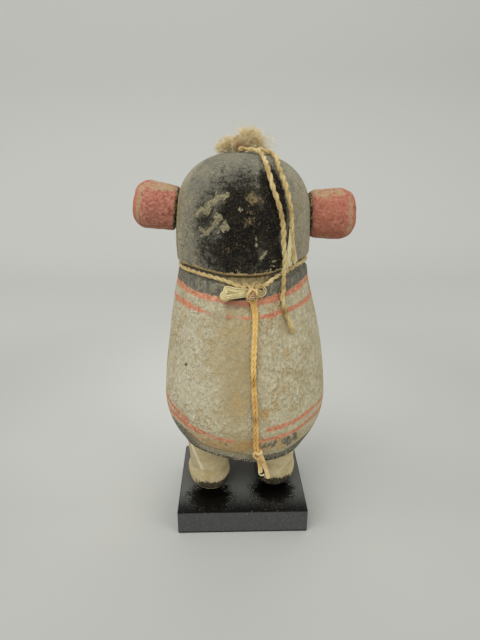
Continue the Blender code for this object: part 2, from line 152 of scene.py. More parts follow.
SHORT_DOWN_MASK = [
    (38.0, 124.2),
    (35.4, 121.4),
    (35.2, 118.2),
    (35.7, 114.6),
    (36.6, 111.0),
    (36.6, 107.0),
    (37.6, 102.6),
    (38.4, 99.0),
    (39.0, 96.2),
]


def smooth_step(value, low, high):
    share = np.clip((value - low) / (high - low), 0, 1)
    return share * share * (3 - 2 * share)


def figure_radius(height):
    """The radius of the turned body and mask at a height."""
    if height >= SPRING:
        share = min(1.0, (height - SPRING) / (CROWN - SPRING))
        return MASK_RADIUS * (1 - share**DOME_CURVE) ** (1 / DOME_CURVE)
    if height >= RIM:
        return MASK_RADIUS
    if height > SHOULDER:
        return NECK_RADIUS
    if height >= BELLY:
        share = (height - BELLY) / (SHOULDER - BELLY)
        return BELLY_RADIUS - (BELLY_RADIUS - SHOULDER_RADIUS) * share**BACK_CURVE
    share = min(1.0, (BELLY - height) / (BELLY - HEM))
    return BELLY_RADIUS - (BELLY_RADIUS - HEM_RADIUS) * share**BELLY_CURVE


def middle_x(height):
    """The body stands a little to one side of the mask."""
    above = smooth_step(height, BELLY + BELLY_RISE, SHOULDER)
    return (MASK_ASIDE + BODY_ASIDE * (1 - above)) * MM


def rim_lift(bearing, height):
    """The carver's rim rises from the middle of the back to both sides."""
    aside = np.sin(np.radians(bearing))
    arch = smooth_step(np.degrees(np.arcsin(np.abs(aside))), ARCH_FROM, ARCH_TO)
    above = 1 - smooth_step(height, RIM, RIM + RIM_FADE)
    below = smooth_step(height, SHOULDER - SHOULDER_FADE, RIM - 0.96 * MM)
    return np.where(height > RIM, above, below) * arch * (RIM_ARCH + RIM_TILT * aside)


def off_figure(bearing, height, lift):
    """A point that far off the doll, square to its side or its crown."""
    if height > RIM + RIM_FADE:
        radius = figure_radius(height)
        outward = (radius / MASK_RADIUS) ** (DOME_CURVE - 1) / MASK_RADIUS
        rise = CROWN - SPRING
        upward = max(0.0, (height - SPRING) / rise) ** (DOME_CURVE - 1) / rise
        slope = math.hypot(outward, upward)
        radius += lift * outward / slope
        height += lift * upward / slope
    else:
        radius = figure_radius(height - float(rim_lift(bearing, height))) + lift
    x = middle_x(height) + radius * math.sin(math.radians(bearing))
    return Vector((x, -radius * math.cos(math.radians(bearing)), height + SOLE))


def over_crown(bearing, reach, lift):
    """A point that far off the crown, at a reach from its middle."""
    share = (1 - (reach / MASK_RADIUS) ** DOME_CURVE) ** (1 / DOME_CURVE)
    return off_figure(bearing, SPRING + (CROWN - SPRING) * share, lift)


def smooth_route(points, spacing):
    """Points that far apart on a smooth curve through the route's own points."""
    padded = [2 * points[0] - points[1], *points, 2 * points[-1] - points[-2]]
    fine = []
    for a, b, c, d in zip(padded, padded[1:], padded[2:], padded[3:]):
        for t in (i / 16 for i in range(16)):
            bend = (2 * a - 5 * b + 4 * c - d) * t * t
            fine.append(0.5 * (2 * b + (c - a) * t + bend + (3 * b - a - 3 * c + d) * t**3))
    fine.append(points[-1])
    along = [0.0]
    for start, end in zip(fine, fine[1:]):
        along.append(along[-1] + (end - start).length)
    count = max(3, round(along[-1] / spacing))
    spots = [along[-1] * i / count for i in range(count + 1)]
    lines = [[p[k] for p in fine] for k in range(3)]
    return [Vector([float(np.interp(s, along, line)) for line in lines]) for s in spots]


def route_length(route):
    return sum((b - a).length for a, b in zip(route, route[1:]))


def final_mesh(piece):
    """The mesh that an object shows, with its modifiers or its bevel applied."""
    bpy.context.view_layer.update()
    shown = piece.evaluated_get(bpy.context.evaluated_depsgraph_get())
    return bpy.data.meshes.new_from_object(shown)


def threads_mesh(name, threads, sides=2):
    """Drawn threads as one mesh. Each thread is its points and the radius at each."""
    curve = bpy.data.curves.new(name, "CURVE")
    curve.dimensions = "3D"
    curve.bevel_depth = 1.0
    curve.bevel_resolution = sides
    curve.use_fill_caps = True
    for points, radii in threads:
        spline = curve.splines.new("POLY")
        spline.points.add(len(points) - 1)
        for place, point, radius in zip(spline.points, points, radii):
            place.co = (*point, 1.0)
            place.radius = radius
    drawn = add_object(name, curve)
    made = final_mesh(drawn)
    bpy.data.objects.remove(drawn, do_unlink=True)
    bpy.data.curves.remove(curve)
    made.name = name
    made.shade_smooth()
    return made


PLY_OFF_MIDDLE = 0.21
PLY_RADIUS = 0.315


def plies(route, diameter, pitch, seed, loosen=0.0):
    """The two plies that twist round a route, with the unevenness of hand-spun yarn."""
    chance = random.Random(seed)
    length = route_length(route)
    fine = smooth_route(route, pitch / 16)
    side = Vector((0.3, 1.0, 0.2))
    wobble = [chance.uniform(0, math.tau) for _ in range(6)]
    threads = []
    for ply in range(2):
        points, radii = [], []
        walked = 0.0
        for i, place in enumerate(fine):
            before, after = fine[max(0, i - 1)], fine[min(len(fine) - 1, i + 1)]
            tangent = (after - before).normalized()
            side = (side - tangent * side.dot(tangent)).normalized()
            other = tangent.cross(side)
            if i:
                walked += (place - fine[i - 1]).length
            uneven = math.sin(walked / pitch * 1.9 + wobble[0]) * 0.5
            uneven += math.sin(walked / pitch * 3.7 + wobble[1 + ply]) * 0.5
            angle = math.tau * walked / pitch + math.pi * ply + 0.5 * uneven
            open_out = 1 + loosen * float(smooth_step(walked, length - 5 * MM, length))
            offset = diameter * (PLY_OFF_MIDDLE + 0.02 * uneven) * open_out
            points.append(place + (side * math.cos(angle) + other * math.sin(angle)) * offset)
            radii.append(diameter * (PLY_RADIUS + 0.03 * uneven))
        radii[0] *= 0.6
        radii[-1] *= 0.5
        threads.append((points, radii))
        side = Vector((0.3, 1.0, 0.2))
    return threads


def loose_fibres(route, diameter, per_mm, longest, seed):
    """Fine fibres that have worked out of a cord."""
    chance = random.Random(seed)
    fine = smooth_route(route, 0.5 * MM)
    threads = []
    for _ in range(int(route_length(route) / MM * per_mm)):
        root = fine[chance.randrange(1, len(fine) - 1)]
        away = Vector([chance.uniform(-1, 1) for _ in range(3)]).normalized()
        away.y -= 0.35
        bend = Vector([chance.uniform(-1, 1) for _ in range(3)]) * 0.8
        reach = chance.uniform(0.3, 1.0) * longest
        points, radii = [], []
        for i in range(5):
            t = i / 4
            points.append(root + away * (0.36 * diameter + reach * t) + bend * reach * t * t)
            radii.append(chance.uniform(0.018, 0.028) * MM * (1 - 0.5 * t))
        threads.append((points, radii))
    return threads


def add_piece(name, mesh, finish):
    """A new piece of that mesh with that finish all over."""
    piece = add_object(name, mesh)
    mesh.materials.clear()
    mesh.materials.append(finish)
    return piece


def colour(code):
    """An sRGB hex value as the linear colour that a shader takes."""
    parts = [int(code[i : i + 2], 16) / 255 for i in (0, 2, 4)]
    linear = [p / 12.92 if p <= 0.04045 else ((p + 0.055) / 1.055) ** 2.4 for p in parts]
    return (*linear, 1.0)


def add_node(tree, kind, settings=None, **inputs):
    """A node with its settings and its inputs, each a value or another node's output."""
    node = tree.nodes.new(kind)
    for key, value in (settings or {}).items():
        setattr(node, key, value)
    for key, value in inputs.items():
        socket = node.inputs[int(key[1:]) if key[0] == "_" else key.replace("_", " ")]
        if isinstance(value, bpy.types.NodeSocket):
            tree.links.new(value, socket)
        else:
            socket.default_value = value
    return node


def new_material(name, roughness, specular=0.5, sheen=0.0):
    """A material, its tree and shader, set all over, and the place on its piece."""
    made = bpy.data.materials.new(name)
    made.use_nodes = True
    shader = made.node_tree.nodes["Principled BSDF"]
    shader.inputs["Roughness"].default_value = roughness
    shader.inputs["Specular IOR Level"].default_value = specular
    shader.inputs["Sheen Weight"].default_value = sheen
    shader.inputs["Sheen Roughness"].default_value = 0.6
    place = add_node(made.node_tree, "ShaderNodeTexCoord").outputs["Object"]
    return made, made.node_tree, shader, place


def surface(tree, shader, base, relief, strength, depth):
    """A shader's colour, and the relief of its surface with that depth."""
    tree.links.new(base, shader.inputs["Base Color"])
    bump = add_node(tree, "ShaderNodeBump", Strength=strength, Distance=depth, Height=relief)
    tree.links.new(bump.outputs[0], shader.inputs["Normal"])


def shades(tree, pattern, *stops):
    """Paint that shades through hex colours as a pattern rises past their places."""
    node = add_node(tree, "ShaderNodeValToRGB", Fac=pattern)
    band = node.color_ramp
    while len(band.elements) < len(stops):
        band.elements.new(0.5)
    for element, (position, code) in zip(band.elements, stops):
        element.position = position
        element.color = colour(code)
    return node.outputs["Color"]


def plus(tree, total, pattern, amount):
    """A total with that much of a pattern added to it."""
    add = {"operation": "MULTIPLY_ADD"}
    return add_node(tree, "ShaderNodeMath", add, _0=pattern, _1=amount, _2=total).outputs[0]


def cotton(name, pale, middle, dark):
    """Spun cotton: matt, with a soft sheen, and dirt where handling left it."""
    made, tree, shader, place = new_material(name, 0.92, 0.2, 0.25)
    stain = add_node(tree, "ShaderNodeTexNoise", Vector=place, Scale=190, Detail=4.0)
    hair = add_node(tree, "ShaderNodeTexNoise", Vector=place, Scale=2600, Detail=2.0)
    both = plus(tree, stain.outputs["Fac"], hair.outputs["Fac"], 0.45)
    tint = shades(tree, both, (0.48, dark), (0.66, middle), (0.88, pale))
    surface(tree, shader, tint, hair.outputs["Fac"], 0.5, 0.12 * MM)
    return made


undyed_cotton = cotton("undyed twisted cotton", "CDB981", "B5995D", "826838")
golden_cotton = cotton("golden twisted cotton", "E0BC6E", "CC9E50", "A57A36")
handled_cotton = cotton("handled cotton", "E6DCAC", "C3B27C", "7C653A")
faded_golden_cotton = cotton("faded golden cotton", "E3CA92", "CFAE70", "A07E42")
soiled_cotton = cotton("soiled cotton", "EDCFA2", "D6B287", "A5845C")
frayed_cotton = cotton("frayed cotton", "E4DBB2", "CBBE8E", "917D50")


def hang_cord(name, threads, finish):
    """A free cord that hangs along its route, in place of the solid of that name."""
    piece = add_piece(f"{name}_twist", threads_mesh(name, threads), finish)
    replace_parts(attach(piece, "root"), name)


CROWN_PITCH = 6.0 * MM
on_mask = CROWN_CORD / 2 + SEAT
over_neck_cord = on_mask + NECK_CORD + SEAT
long_route = [over_crown(b, reach * MM, on_mask) for b, reach in LONG_OVER_CROWN]
long_route += [off_figure(b, h * MM, on_mask) for b, h in LONG_DOWN_MASK]
long_route += [off_figure(b, h * MM, over_neck_cord) for b, h in LONG_OVER_NECK]
long_route += [off_figure(b, h * MM, on_mask) for b, h in LONG_DOWN_BODY]
short_route = [over_crown(b, reach * MM, on_mask) for b, reach in SHORT_OVER_CROWN]
short_route += [off_figure(b, h * MM, on_mask) for b, h in SHORT_DOWN_MASK]
for name, points, seed in (
    ("crown_cord_long", long_route, 3),
    ("crown_cord_short", short_route, 8),
):
    route = smooth_route(points, 1.2 * MM)
    threads = plies(route, CROWN_CORD, CROWN_PITCH, seed)
    threads += loose_fibres(route, CROWN_CORD, 7.0, 0.9 * MM, seed)
    hang_cord(name, threads, undyed_cotton)


# The short cord's fan. Its last centimetre has come untwisted into a flat pale
# brush of cotton that is tucked behind the neck cord.
FAN_THREADS = 34


def tape(route, width, count, seed, bulge=0.25):
    """Cord that has come untwisted and lies flat: threads side by side along a route."""
    chance = random.Random(seed)
    threads = []
    for k in range(count):
        share = 2 * k / (count - 1) - 1
        stray = [chance.uniform(-0.12, 0.12) for _ in range(4)]
        points = []
        for i, place in enumerate(route):
            before, after = route[max(0, i - 1)], route[min(len(route) - 1, i + 1)]
            outward = Vector((place.x, place.y, 0)).normalized()
            aside = (after - before).normalized().cross(outward).normalized()
            t = i / (len(route) - 1)
            drift = stray[0] * math.sin(6 * t + 9 * stray[1]) + stray[2]
            lift = bulge * (1 - share * share) + stray[3]
            points.append(
                place + aside * (width / 2 * share + drift * MM) + outward * lift * MM
            )
        threads.append((points, [chance.uniform(0.15, 0.21) * MM] * len(points)))
    return threads


fan_threads = []
fan_chance = random.Random(21)
for i in range(FAN_THREADS):
    t = i / (FAN_THREADS - 1)
    top = off_figure(35.4 + 2.2 * t, (106.5 - 0.6 * t) * MM, SEAT + 0.6 * MM)
    middle = off_figure(33.4 + 6.8 * t, (100.0 + 0.4 * t) * MM, SEAT + 0.9 * MM)
    foot = off_figure(32.0 + 13.0 * t, (93.4 + 2.4 * t) * MM, SEAT + 0.3 * MM)
    stray = Vector([fan_chance.uniform(-0.25, 0.25) * MM for _ in range(3)])
    points = smooth_route([top, middle + stray, foot + 1.6 * stray], 1.2 * MM)
    fan_threads.append((points, [fan_chance.uniform(0.16, 0.26) * MM] * len(points)))
fan_mesh = threads_mesh("crown_cord_fan", fan_threads, 1)
fan = add_piece("crown_cord_fan", fan_mesh, frayed_cotton)
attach(fan, "root")


# The hanging cord. One golden cotton cord is doubled, hitched over the bow's
# knot, knotted again at the hem, and its two tails hang free.
HANGING_CORD = 1.2 * MM
HANGING_PITCH = 4.0 * MM
HANGING_ON_BACK = [
    (2.7, 85.0),
    (3.3, 81.5),
    (3.5, 78.0),
    (3.3, 72.0),
    (3.0, 66.0),
    (3.0, 61.0),
    (3.2, 55.0),
    (3.6, 48.6),
    (3.8, 43.0),
]
HANGING_FREE = [(3.95, 38.0), (4.1, 34.0)]
LEFT_TAIL = [(5.0, 30.8), (5.4, 28.0), (5.7, 24.8)]
RIGHT_TAIL = [(6.0, 31.0), (7.2, 27.0), (8.5, 22.6)]
STRAND_SPREAD = [(43.0, 0.4), (79.0, 0.4), (82.0, 0.5), (84.0, 0.68), (85.0, 0.8)]


def across(x, height, lift):
    """A point that far off the doll's back, at a distance across."""
    offset = x - middle_x(height)
    radius = figure_radius(height) + lift
    return Vector((x, -math.sqrt(radius * radius - offset * offset), height + SOLE))


on_back = HANGING_CORD / 2 + SEAT
plumb = across(HANGING_ON_BACK[-1][0] * MM, HANGING_ON_BACK[-1][1] * MM, on_back).y
for name, side, tail, seed in (
    ("hanging_cord_left", -1, LEFT_TAIL, 5),
    ("hanging_cord_right", 1, RIGHT_TAIL, 6),
):
    points = []
    for x, h in HANGING_ON_BACK:
        spread = float(np.interp(h, *zip(*STRAND_SPREAD)))
        points.append(across((x + side * spread) * MM, h * MM, on_back))
    for x, h in HANGING_FREE:
        points.append(Vector(((x + side * STRAND_SPREAD[0][1]) * MM, plumb, h * MM + SOLE)))
    points += [Vector((x * MM, plumb, h * MM + SOLE)) for x, h in tail]
    route = smooth_route(points, 1.0 * MM)
    threads = plies(route, 0.9 * HANGING_CORD, HANGING_PITCH, seed, 0.5)
    threads += loose_fibres(route, 0.8 * HANGING_CORD, 5.0, 0.6 * MM, seed)
    hang_cord(name, threads, golden_cotton)


# The hitch and the knot of the hanging cord. Its bight is looped over the bow's
# knot, and at the hem both strands are knotted together. Past that knot the
# cotton has come untwisted, and one fine thread curls free.
HITCH_MIDDLE = (4.9, 86.6)
KNOT_AT_HEM = (4.7, 32.4)
HITCH_CORD = 1.1 * MM
HITCH_PITCH = 3.4 * MM
HITCH_CORE = [(2.2, 87.2, 1.9), (3.8, 86.7, 2.6), (5.6, 86.5, 2.6), (7.6, 86.2, 1.8)]
BETWEEN_STRANDS = [(2.9, 84.6), (3.2, 82.6), (3.5, 80.4), (3.5, 77.0), (3.2, 71.0)]
KNOT_TURNS = [(0.0, 0.7, 1.15), (2.1, -0.6, 1.1), (4.2, 0.1, 1.2)]
KNOT_BIGHT = [
    (-0.2, -0.9, 1.0),
    (-1.4, -1.0, 0.6),
    (-1.5, -1.0, -0.2),
    (-0.7, -1.1, -1.2),
    (0.3, -0.9, -2.0),
]
LOOSE_THREAD = [(5.0, 25.6), (5.2, 24.6), (5.6, 23.9), (6.2, 23.6), (6.8, 23.8), (7.0, 24.2)]


def on_figure(bearing, height, lift):
    """A point off the figure, its height and its lift in mm."""
    return off_figure(bearing, height * MM, lift * MM)


def in_front(x, height, clear=0.0):
    """A point of the freely hanging stretch, given in mm."""
    return Vector((x * MM, plumb - clear * MM, height * MM + SOLE))


hitch_spots = []
for i in range(15):
    angle = math.tau * i / 14 + math.pi
    height = HITCH_MIDDLE[1] + 2.15 * math.cos(angle)
    bearing = HITCH_MIDDLE[0] + 3.5 * math.sin(angle) * (1 - 0.25 * math.cos(angle))
    lift = 1.0 + 2.3 * float(smooth_step(height, 85.4, 87.6))
    hitch_spots.append(on_figure(bearing, height, lift))
hitch_threads = plies(smooth_route(hitch_spots, 0.6 * MM), HITCH_CORD, HITCH_PITCH, 60)
between = [across(x * MM, h * MM, on_back - 0.1 * MM) for x, h in BETWEEN_STRANDS]
hitch_threads += tape(smooth_route(between, 0.8 * MM), 1.4 * MM, 8, 66, 0.1)
core_route = smooth_route([on_figure(*spot) for spot in HITCH_CORE], 0.4 * MM)
core = tape(core_route, 2.2 * MM, 9, 67)
for name, threads, finish in (
    ("hitch_loop", hitch_threads, faded_golden_cotton),
    ("hitch_core", core, soiled_cotton),
):
    piece = add_piece(name, threads_mesh(name, threads), finish)
    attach(piece, "root")
knot_middle = in_front(*KNOT_AT_HEM, 0.2)
knot_threads = []
for turn, tilt, reach in KNOT_TURNS:
    spots = []
    for i in range(13):
        angle = turn + 1.35 * math.pi * i / 12
        up = tilt * math.sin(angle + 0.6) + 0.5 * (turn - 2.1) / 2.1
        off = Vector((reach * math.cos(angle), reach * 0.8 * math.sin(angle), up))
        spots.append(knot_middle + off * MM)
    knot_threads += plies(smooth_route(spots, 0.5 * MM), 1.0 * MM, HITCH_PITCH, 61)
bight_spots = [knot_middle + Vector(spot) * MM for spot in KNOT_BIGHT]
knot_threads += plies(smooth_route(bight_spots, 0.4 * MM), 0.9 * MM, HITCH_PITCH, 62)
for tail, seed in ((LEFT_TAIL, 64), (RIGHT_TAIL, 65)):
    tail_spots = [knot_middle + Vector((0.3, -0.3, -0.6)) * MM]
    tail_spots += [in_front(x, h, 0.25) for x, h in tail]
    knot_threads += tape(smooth_route(tail_spots, 0.5 * MM), 1.15 * MM, 7, seed, 0.3)
thread_route = smooth_route([in_front(x, h, 0.4) for x, h in LOOSE_THREAD], 0.4 * MM)
loose_end = tape(thread_route, 0.15 * MM, 2, 63, 0.1)
for name, threads, sides, finish in (
    ("knot_at_hem", knot_threads, 2, faded_golden_cotton),
    ("loose_thread_ends", loose_end, 1, frayed_cotton),
):
    piece = add_piece(name, threads_mesh(name, threads, sides), finish)
    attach(piece, "root")


# The neck cord. It is the same undyed cotton as the crown cords but finer, tied
# round the groove under the mask, with a bow at the back.
NECK_PITCH = 5.0 * MM
KNOT_BEARING = 4.8
KNOT_DROP = 1.4 * MM
KNOT_HEIGHT = 3.6 * MM
CORD_BELOW_RIM = 1.7 * MM
neck_points = []
in_groove = NECK_RADIUS + NECK_CORD / 2 + SEAT
on_shoulder = SHOULDER_RADIUS + NECK_CORD / 2 + 0.5 * MM
for i in range(49):
    turn = 4.0 + 352.0 * i / 48
    droop = max(0.0, math.cos(math.radians(turn))) ** 30
    radius = in_groove + (on_shoulder - in_groove) * float(smooth_step(droop, 0.0, 0.6))
    under_rim = RIM - CORD_BELOW_RIM
    low = SHOULDER - KNOT_DROP + 0.25 * KNOT_HEIGHT
    rise = float(rim_lift(KNOT_BEARING + turn, RIM)) * (1 - droop)
    height = under_rim + (low - under_rim) * droop + rise
    angle = math.radians(KNOT_BEARING + turn)
    x = radius * math.sin(angle) + middle_x(height)
    neck_points.append(Vector((x, -radius * math.cos(angle), height + SOLE)))
neck_route = smooth_route(neck_points, 1.1 * MM)
neck_threads = plies(neck_route, 1.1 * NECK_CORD, NECK_PITCH, 12)
neck_threads += loose_fibres(neck_route, NECK_CORD, 5.0, 0.8 * MM, 12)


KNOT_COILS = [
    [(-2.0, 89.3, 1.0), (2.4, 89.2, 2.2), (5.6, 88.2, 2.6), (7.6, 87.0, 1.4)],
    [(10.6, 89.9, 1.0), (6.8, 89.3, 2.0), (3.6, 88.0, 2.4), (1.6, 86.9, 1.3)],
]
for coil in KNOT_COILS:
    route = smooth_route([on_figure(*spot) for spot in coil], 0.6 * MM)
    neck_threads += plies(route, NECK_CORD, NECK_PITCH, 30)
LEFT_LOOP = [
    (4.0, 87.7, 1.4),
    (-3.0, 87.8, 1.2),
    (-8.0, 88.0, 1.2),
    (-12.4, 88.4, 1.1),
    (-14.2, 88.4, 1.3),
    (-14.6, 87.3, 1.5),
    (-16.6, 86.4, 1.5),
    (-16.4, 85.6, 1.3),
    (-12.0, 85.8, 1.2),
    (-4.0, 86.4, 1.2),
    (3.0, 86.8, 1.4),
]
RIGHT_LOOP = [
    (5.6, 87.2, 1.5),
    (8.4, 86.4, 1.2),
    (11.6, 86.2, 1.1),
    (14.2, 86.9, 1.1),
    (14.8, 87.9, 1.1),
    (13.2, 88.9, 1.2),
    (10.4, 89.1, 1.3),
    (8.6, 88.2, 1.5),
    (9.4, 87.4, 1.7),
    (11.6, 87.3, 1.7),
    (12.2, 88.0, 1.7),
]
CURL = [(-17.0, 86.2, 1.4), (-16.6, 85.2, 1.7), (-14.2, 84.9, 1.7), (-12.0, 85.6, 1.3)]
tape_threads = []
for loop, width, seed in ((LEFT_LOOP, 1.35, 51), (RIGHT_LOOP, 0.9, 52), (CURL, 0.8, 53)):
    route = smooth_route([on_figure(*spot) for spot in loop], 0.6 * MM)
    tape_threads += tape(route, width * MM, 7, seed, 0.35)
groove_spots = [(-13.6, 87.0, 0.9), (-9.0, 87.0, 0.9), (-4.0, 87.1, 0.9), (1.0, 87.2, 0.9)]
groove_route = smooth_route([on_figure(*spot) for spot in groove_spots], 0.6 * MM)
inner_threads = tape(groove_route, 1.3 * MM, 6, 54, 0.1)
for name, threads, finish in (
    ("bow_inner_threads", inner_threads, undyed_cotton),
    ("bow_loops", tape_threads, handled_cotton),
):
    piece = add_piece(name, threads_mesh(name, threads, 1), finish)
    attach(piece, "root")
neck_mesh = threads_mesh("neck_cord_twist", neck_threads)
neck_cord = add_piece("neck_cord_twist", neck_mesh, undyed_cotton)
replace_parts(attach(neck_cord, "root"), "neck_cord")


# The figure. One piece of cottonwood, turned and carved by hand, under white
# clay paint: the mask is smoked black over a grey ground, the blanket is cream
# with thin red stripes, and old handling has chipped and soiled all of it.
RING_STEPS = 300
OUTLINE_STEP = 0.66 * MM
HEM_ROUND = 1.6 * MM
RIM_ROUND = 1.0 * MM


def even_points(corners, step):
    """Points that far apart along a line of corners."""
    along = [0.0]
    for (x0, y0), (x1, y1) in zip(corners, corners[1:]):
        along.append(along[-1] + math.hypot(x1 - x0, y1 - y0))
    count = max(1, round(along[-1] / step))
    spots = np.linspace(0, along[-1], count + 1)
    xs = np.interp(spots, along, [c[0] for c in corners])
    ys = np.interp(spots, along, [c[1] for c in corners])
    return list(zip(xs.tolist(), ys.tolist()))


underside = [(0.0, HEM - HEM_ROUND), (HEM_RADIUS - HEM_ROUND, HEM - HEM_ROUND)]
hem_edge = [
    (
        HEM_RADIUS - HEM_ROUND * (1 - math.sin(a)),
        HEM - HEM_ROUND * math.cos(a),
    )
    for a in np.linspace(0, math.pi / 2, 7)[1:]
]
back = [(figure_radius(h), h) for h in np.linspace(HEM, SHOULDER, 240)[1:]]
groove = [
    (NECK_RADIUS + 0.5 * MM, SHOULDER + 0.35 * MM),
    (NECK_RADIUS, SHOULDER + 0.64 * MM),
    (NECK_RADIUS, RIM - 0.64 * MM),
    (NECK_RADIUS + 0.4 * MM, RIM - 0.2 * MM),
]
rim_edge = [
    (MASK_RADIUS - 0.9 * RIM_ROUND, RIM - 0.05 * MM),
    (MASK_RADIUS - 0.35 * RIM_ROUND, RIM + 0.25 * RIM_ROUND),
    (MASK_RADIUS - 0.1 * RIM_ROUND, RIM + 0.7 * RIM_ROUND),
    (MASK_RADIUS + 0.08 * RIM_ROUND, RIM + 0.45 * (SPRING - RIM)),
]
dome_heights = [
    SPRING + (CROWN - SPRING) * math.sin(a) for a in np.linspace(0, math.pi / 2, 160)
]
dome = [(figure_radius(h), h) for h in dome_heights]
dome[-1] = (0.0, CROWN)
coarse_under = even_points(underside, 2.4 * MM)
outline = coarse_under[:-1] + even_points([underside[-1], *hem_edge, *back], OUTLINE_STEP)
outline += even_points([*groove, *rim_edge, *dome], OUTLINE_STEP)


def turned(outline, axis, steps):
    """A closed form turned round an axis from an outline that starts and ends on it."""
    bm = bmesh.new()
    spine = [bm.verts.new(point) for point in outline]
    edges = [bm.edges.new(pair) for pair in zip(spine, spine[1:])]
    bmesh.ops.spin(
        bm,
        geom=spine + edges,
        cent=(0, 0, 0),
        axis=axis,
        angle=math.tau,
        steps=steps,
        use_merge=True,
    )
    bmesh.ops.remove_doubles(bm, verts=bm.verts, dist=0.001 * MM)
    return bm


def finished_mesh(bm, name):
    """The modelled form as a mesh whose faces point outwards."""
    bmesh.ops.recalc_face_normals(bm, faces=bm.faces)
    made = bpy.data.meshes.new(name)
    bm.to_mesh(made)
    bm.free()
    return made


FLAP_BEARING = 172.0
FLAP_FADES = 55.0
FLAP_THICKNESS = 0.8 * MM


def flap_lift(bearing, height):
    """The blanket's free edge stands proud at the front and fades round to one side."""
    behind = (bearing - FLAP_BEARING) % 360.0
    on_body = smooth_step(height, HEM - HEM_ROUND, HEM + HEM_ROUND) * (
        1 - smooth_step(height, SHOULDER - 3 * RIM_ROUND, SHOULDER)
    )
    lift = FLAP_THICKNESS * on_body * (1 - behind / FLAP_FADES)
    return np.where(behind < FLAP_FADES, lift, 0.0)


def hem_rise(bearing):
    """The hem is cut a little higher on the left of the back than on the right, in mm."""
    left = np.exp(-(((bearing + 30) / 30) ** 2))
    right = np.exp(-(((bearing - 35) / 25) ** 2))
    return 1.3 * left - 0.5 * right


bm = turned([(0.0, -radius, height) for radius, height in outline], (0, 0, 1), RING_STEPS)
for vert in bm.verts:
    x, y, height = vert.co
    bearing = math.degrees(math.atan2(x, -y))
    radius = math.hypot(x, y)
    cut = noise.noise(Vector((x, y, height)) * 75) * 0.16 + noise.noise(vert.co * 190) * 0.07
    if height < HEM - 1.2 * MM:
        cut *= 0.3
    proud = float(flap_lift(bearing, height)) if radius > HEM_RADIUS * 0.6 else 0.0
    grow = 1 + (cut * MM + proud) / max(radius, 8 * MM)
    near_hem = 1 - float(smooth_step(height, HEM, HEM + 14 * MM))
    rise = float(rim_lift(bearing, height)) + float(hem_rise(bearing)) * MM * near_hem
    vert.co = (x * grow + float(middle_x(height)), y * grow, height + rise + SOLE)
body_mesh = finished_mesh(bm, "figure_carving")

# The legs and moccasins, part of the same carving. A station is a height, a
# width, a depth, how far its back is set in, and how square its ring is.
LEG_SPACING = 25.9 * MM
LEG_MIDDLE = 0.35 * MM
HEELS = {-1: -9.9 * MM, 1: -7.9 * MM}
LEG_STATIONS = [
    (0.0, 14.4, 22.6, 0.72, 2.2),
    (1.3, 16.7, 24.0, 0.0, 2.2),
    (3.5, 17.2, 23.3, 0.0, 2.2),
    (5.8, 16.5, 19.2, 0.0, 2.1),
    (8.0, 15.4, 15.6, 0.45, 2.2),
    (13.5, 16.5, 17.3, 0.0, 2.5),
    (19.0, 17.6, 19.0, -0.9, 3.0),
    (33.4, 17.6, 19.0, -0.9, 3.0),
]


def leg(side):
    """A leg and its moccasin, bridged between squared-off rings from the sole up."""
    bm = bmesh.new()
    heights = [s[0] for s in LEG_STATIONS]
    rings = []
    fine_heights = [0.0, 0.5, 0.9, *np.arange(1.3, 25.0, 0.75).tolist(), 29.0, 33.4]
    for height in fine_heights:
        width, depth, setback, square = (
            float(np.interp(height, heights, [s[k] for s in LEG_STATIONS])) for k in (1, 2, 3, 4)
        )
        heel = HEELS[side] + setback * MM
        turn_out = side * 0.08 * (1 - float(smooth_step(height, 6.4, 24.8)))
        ring = bmesh.ops.create_circle(bm, cap_ends=False, segments=72, radius=1.0)["verts"]
        for vert in ring:
            c, s = vert.co.x, vert.co.y
            x = math.copysign(abs(c) ** (2 / square), c) * width / 2 * MM
            y = math.copysign(abs(s) ** (2 / square), s) * depth / 2 * MM + heel + depth / 2 * MM
            x += LEG_MIDDLE + side * LEG_SPACING / 2 + turn_out * (y - HEELS[side])
            place = Vector((x, y, height * MM))
            place += Vector((x, y, 0)).normalized() * noise.noise(place * 120) * 0.3 * MM
            vert.co = place + Vector((0, 0, SOLE))
        rings.append(ring)
    for lower, upper in zip(rings, rings[1:]):
        loops = [e for e in bm.edges if all(v in lower for v in e.verts)]
        loops += [e for e in bm.edges if all(v in upper for v in e.verts)]
        bmesh.ops.bridge_loops(bm, edges=loops)
    bmesh.ops.holes_fill(bm, edges=[e for e in bm.edges if e.is_boundary], sides=0)
    return finished_mesh(bm, "leg")


figure = add_object("figure_carving", body_mesh)
for side in (-1, 1):
    limb = add_object("limb", leg(side))
    join = figure.modifiers.new("Join", "BOOLEAN")
    join.operation = "UNION"
    join.solver = "EXACT"
    join.object = limb
carved = final_mesh(figure)
for old in [o for o in bpy.data.objects if o.name.startswith(("limb", "figure_carving"))]:
    bpy.data.objects.remove(old, do_unlink=True)

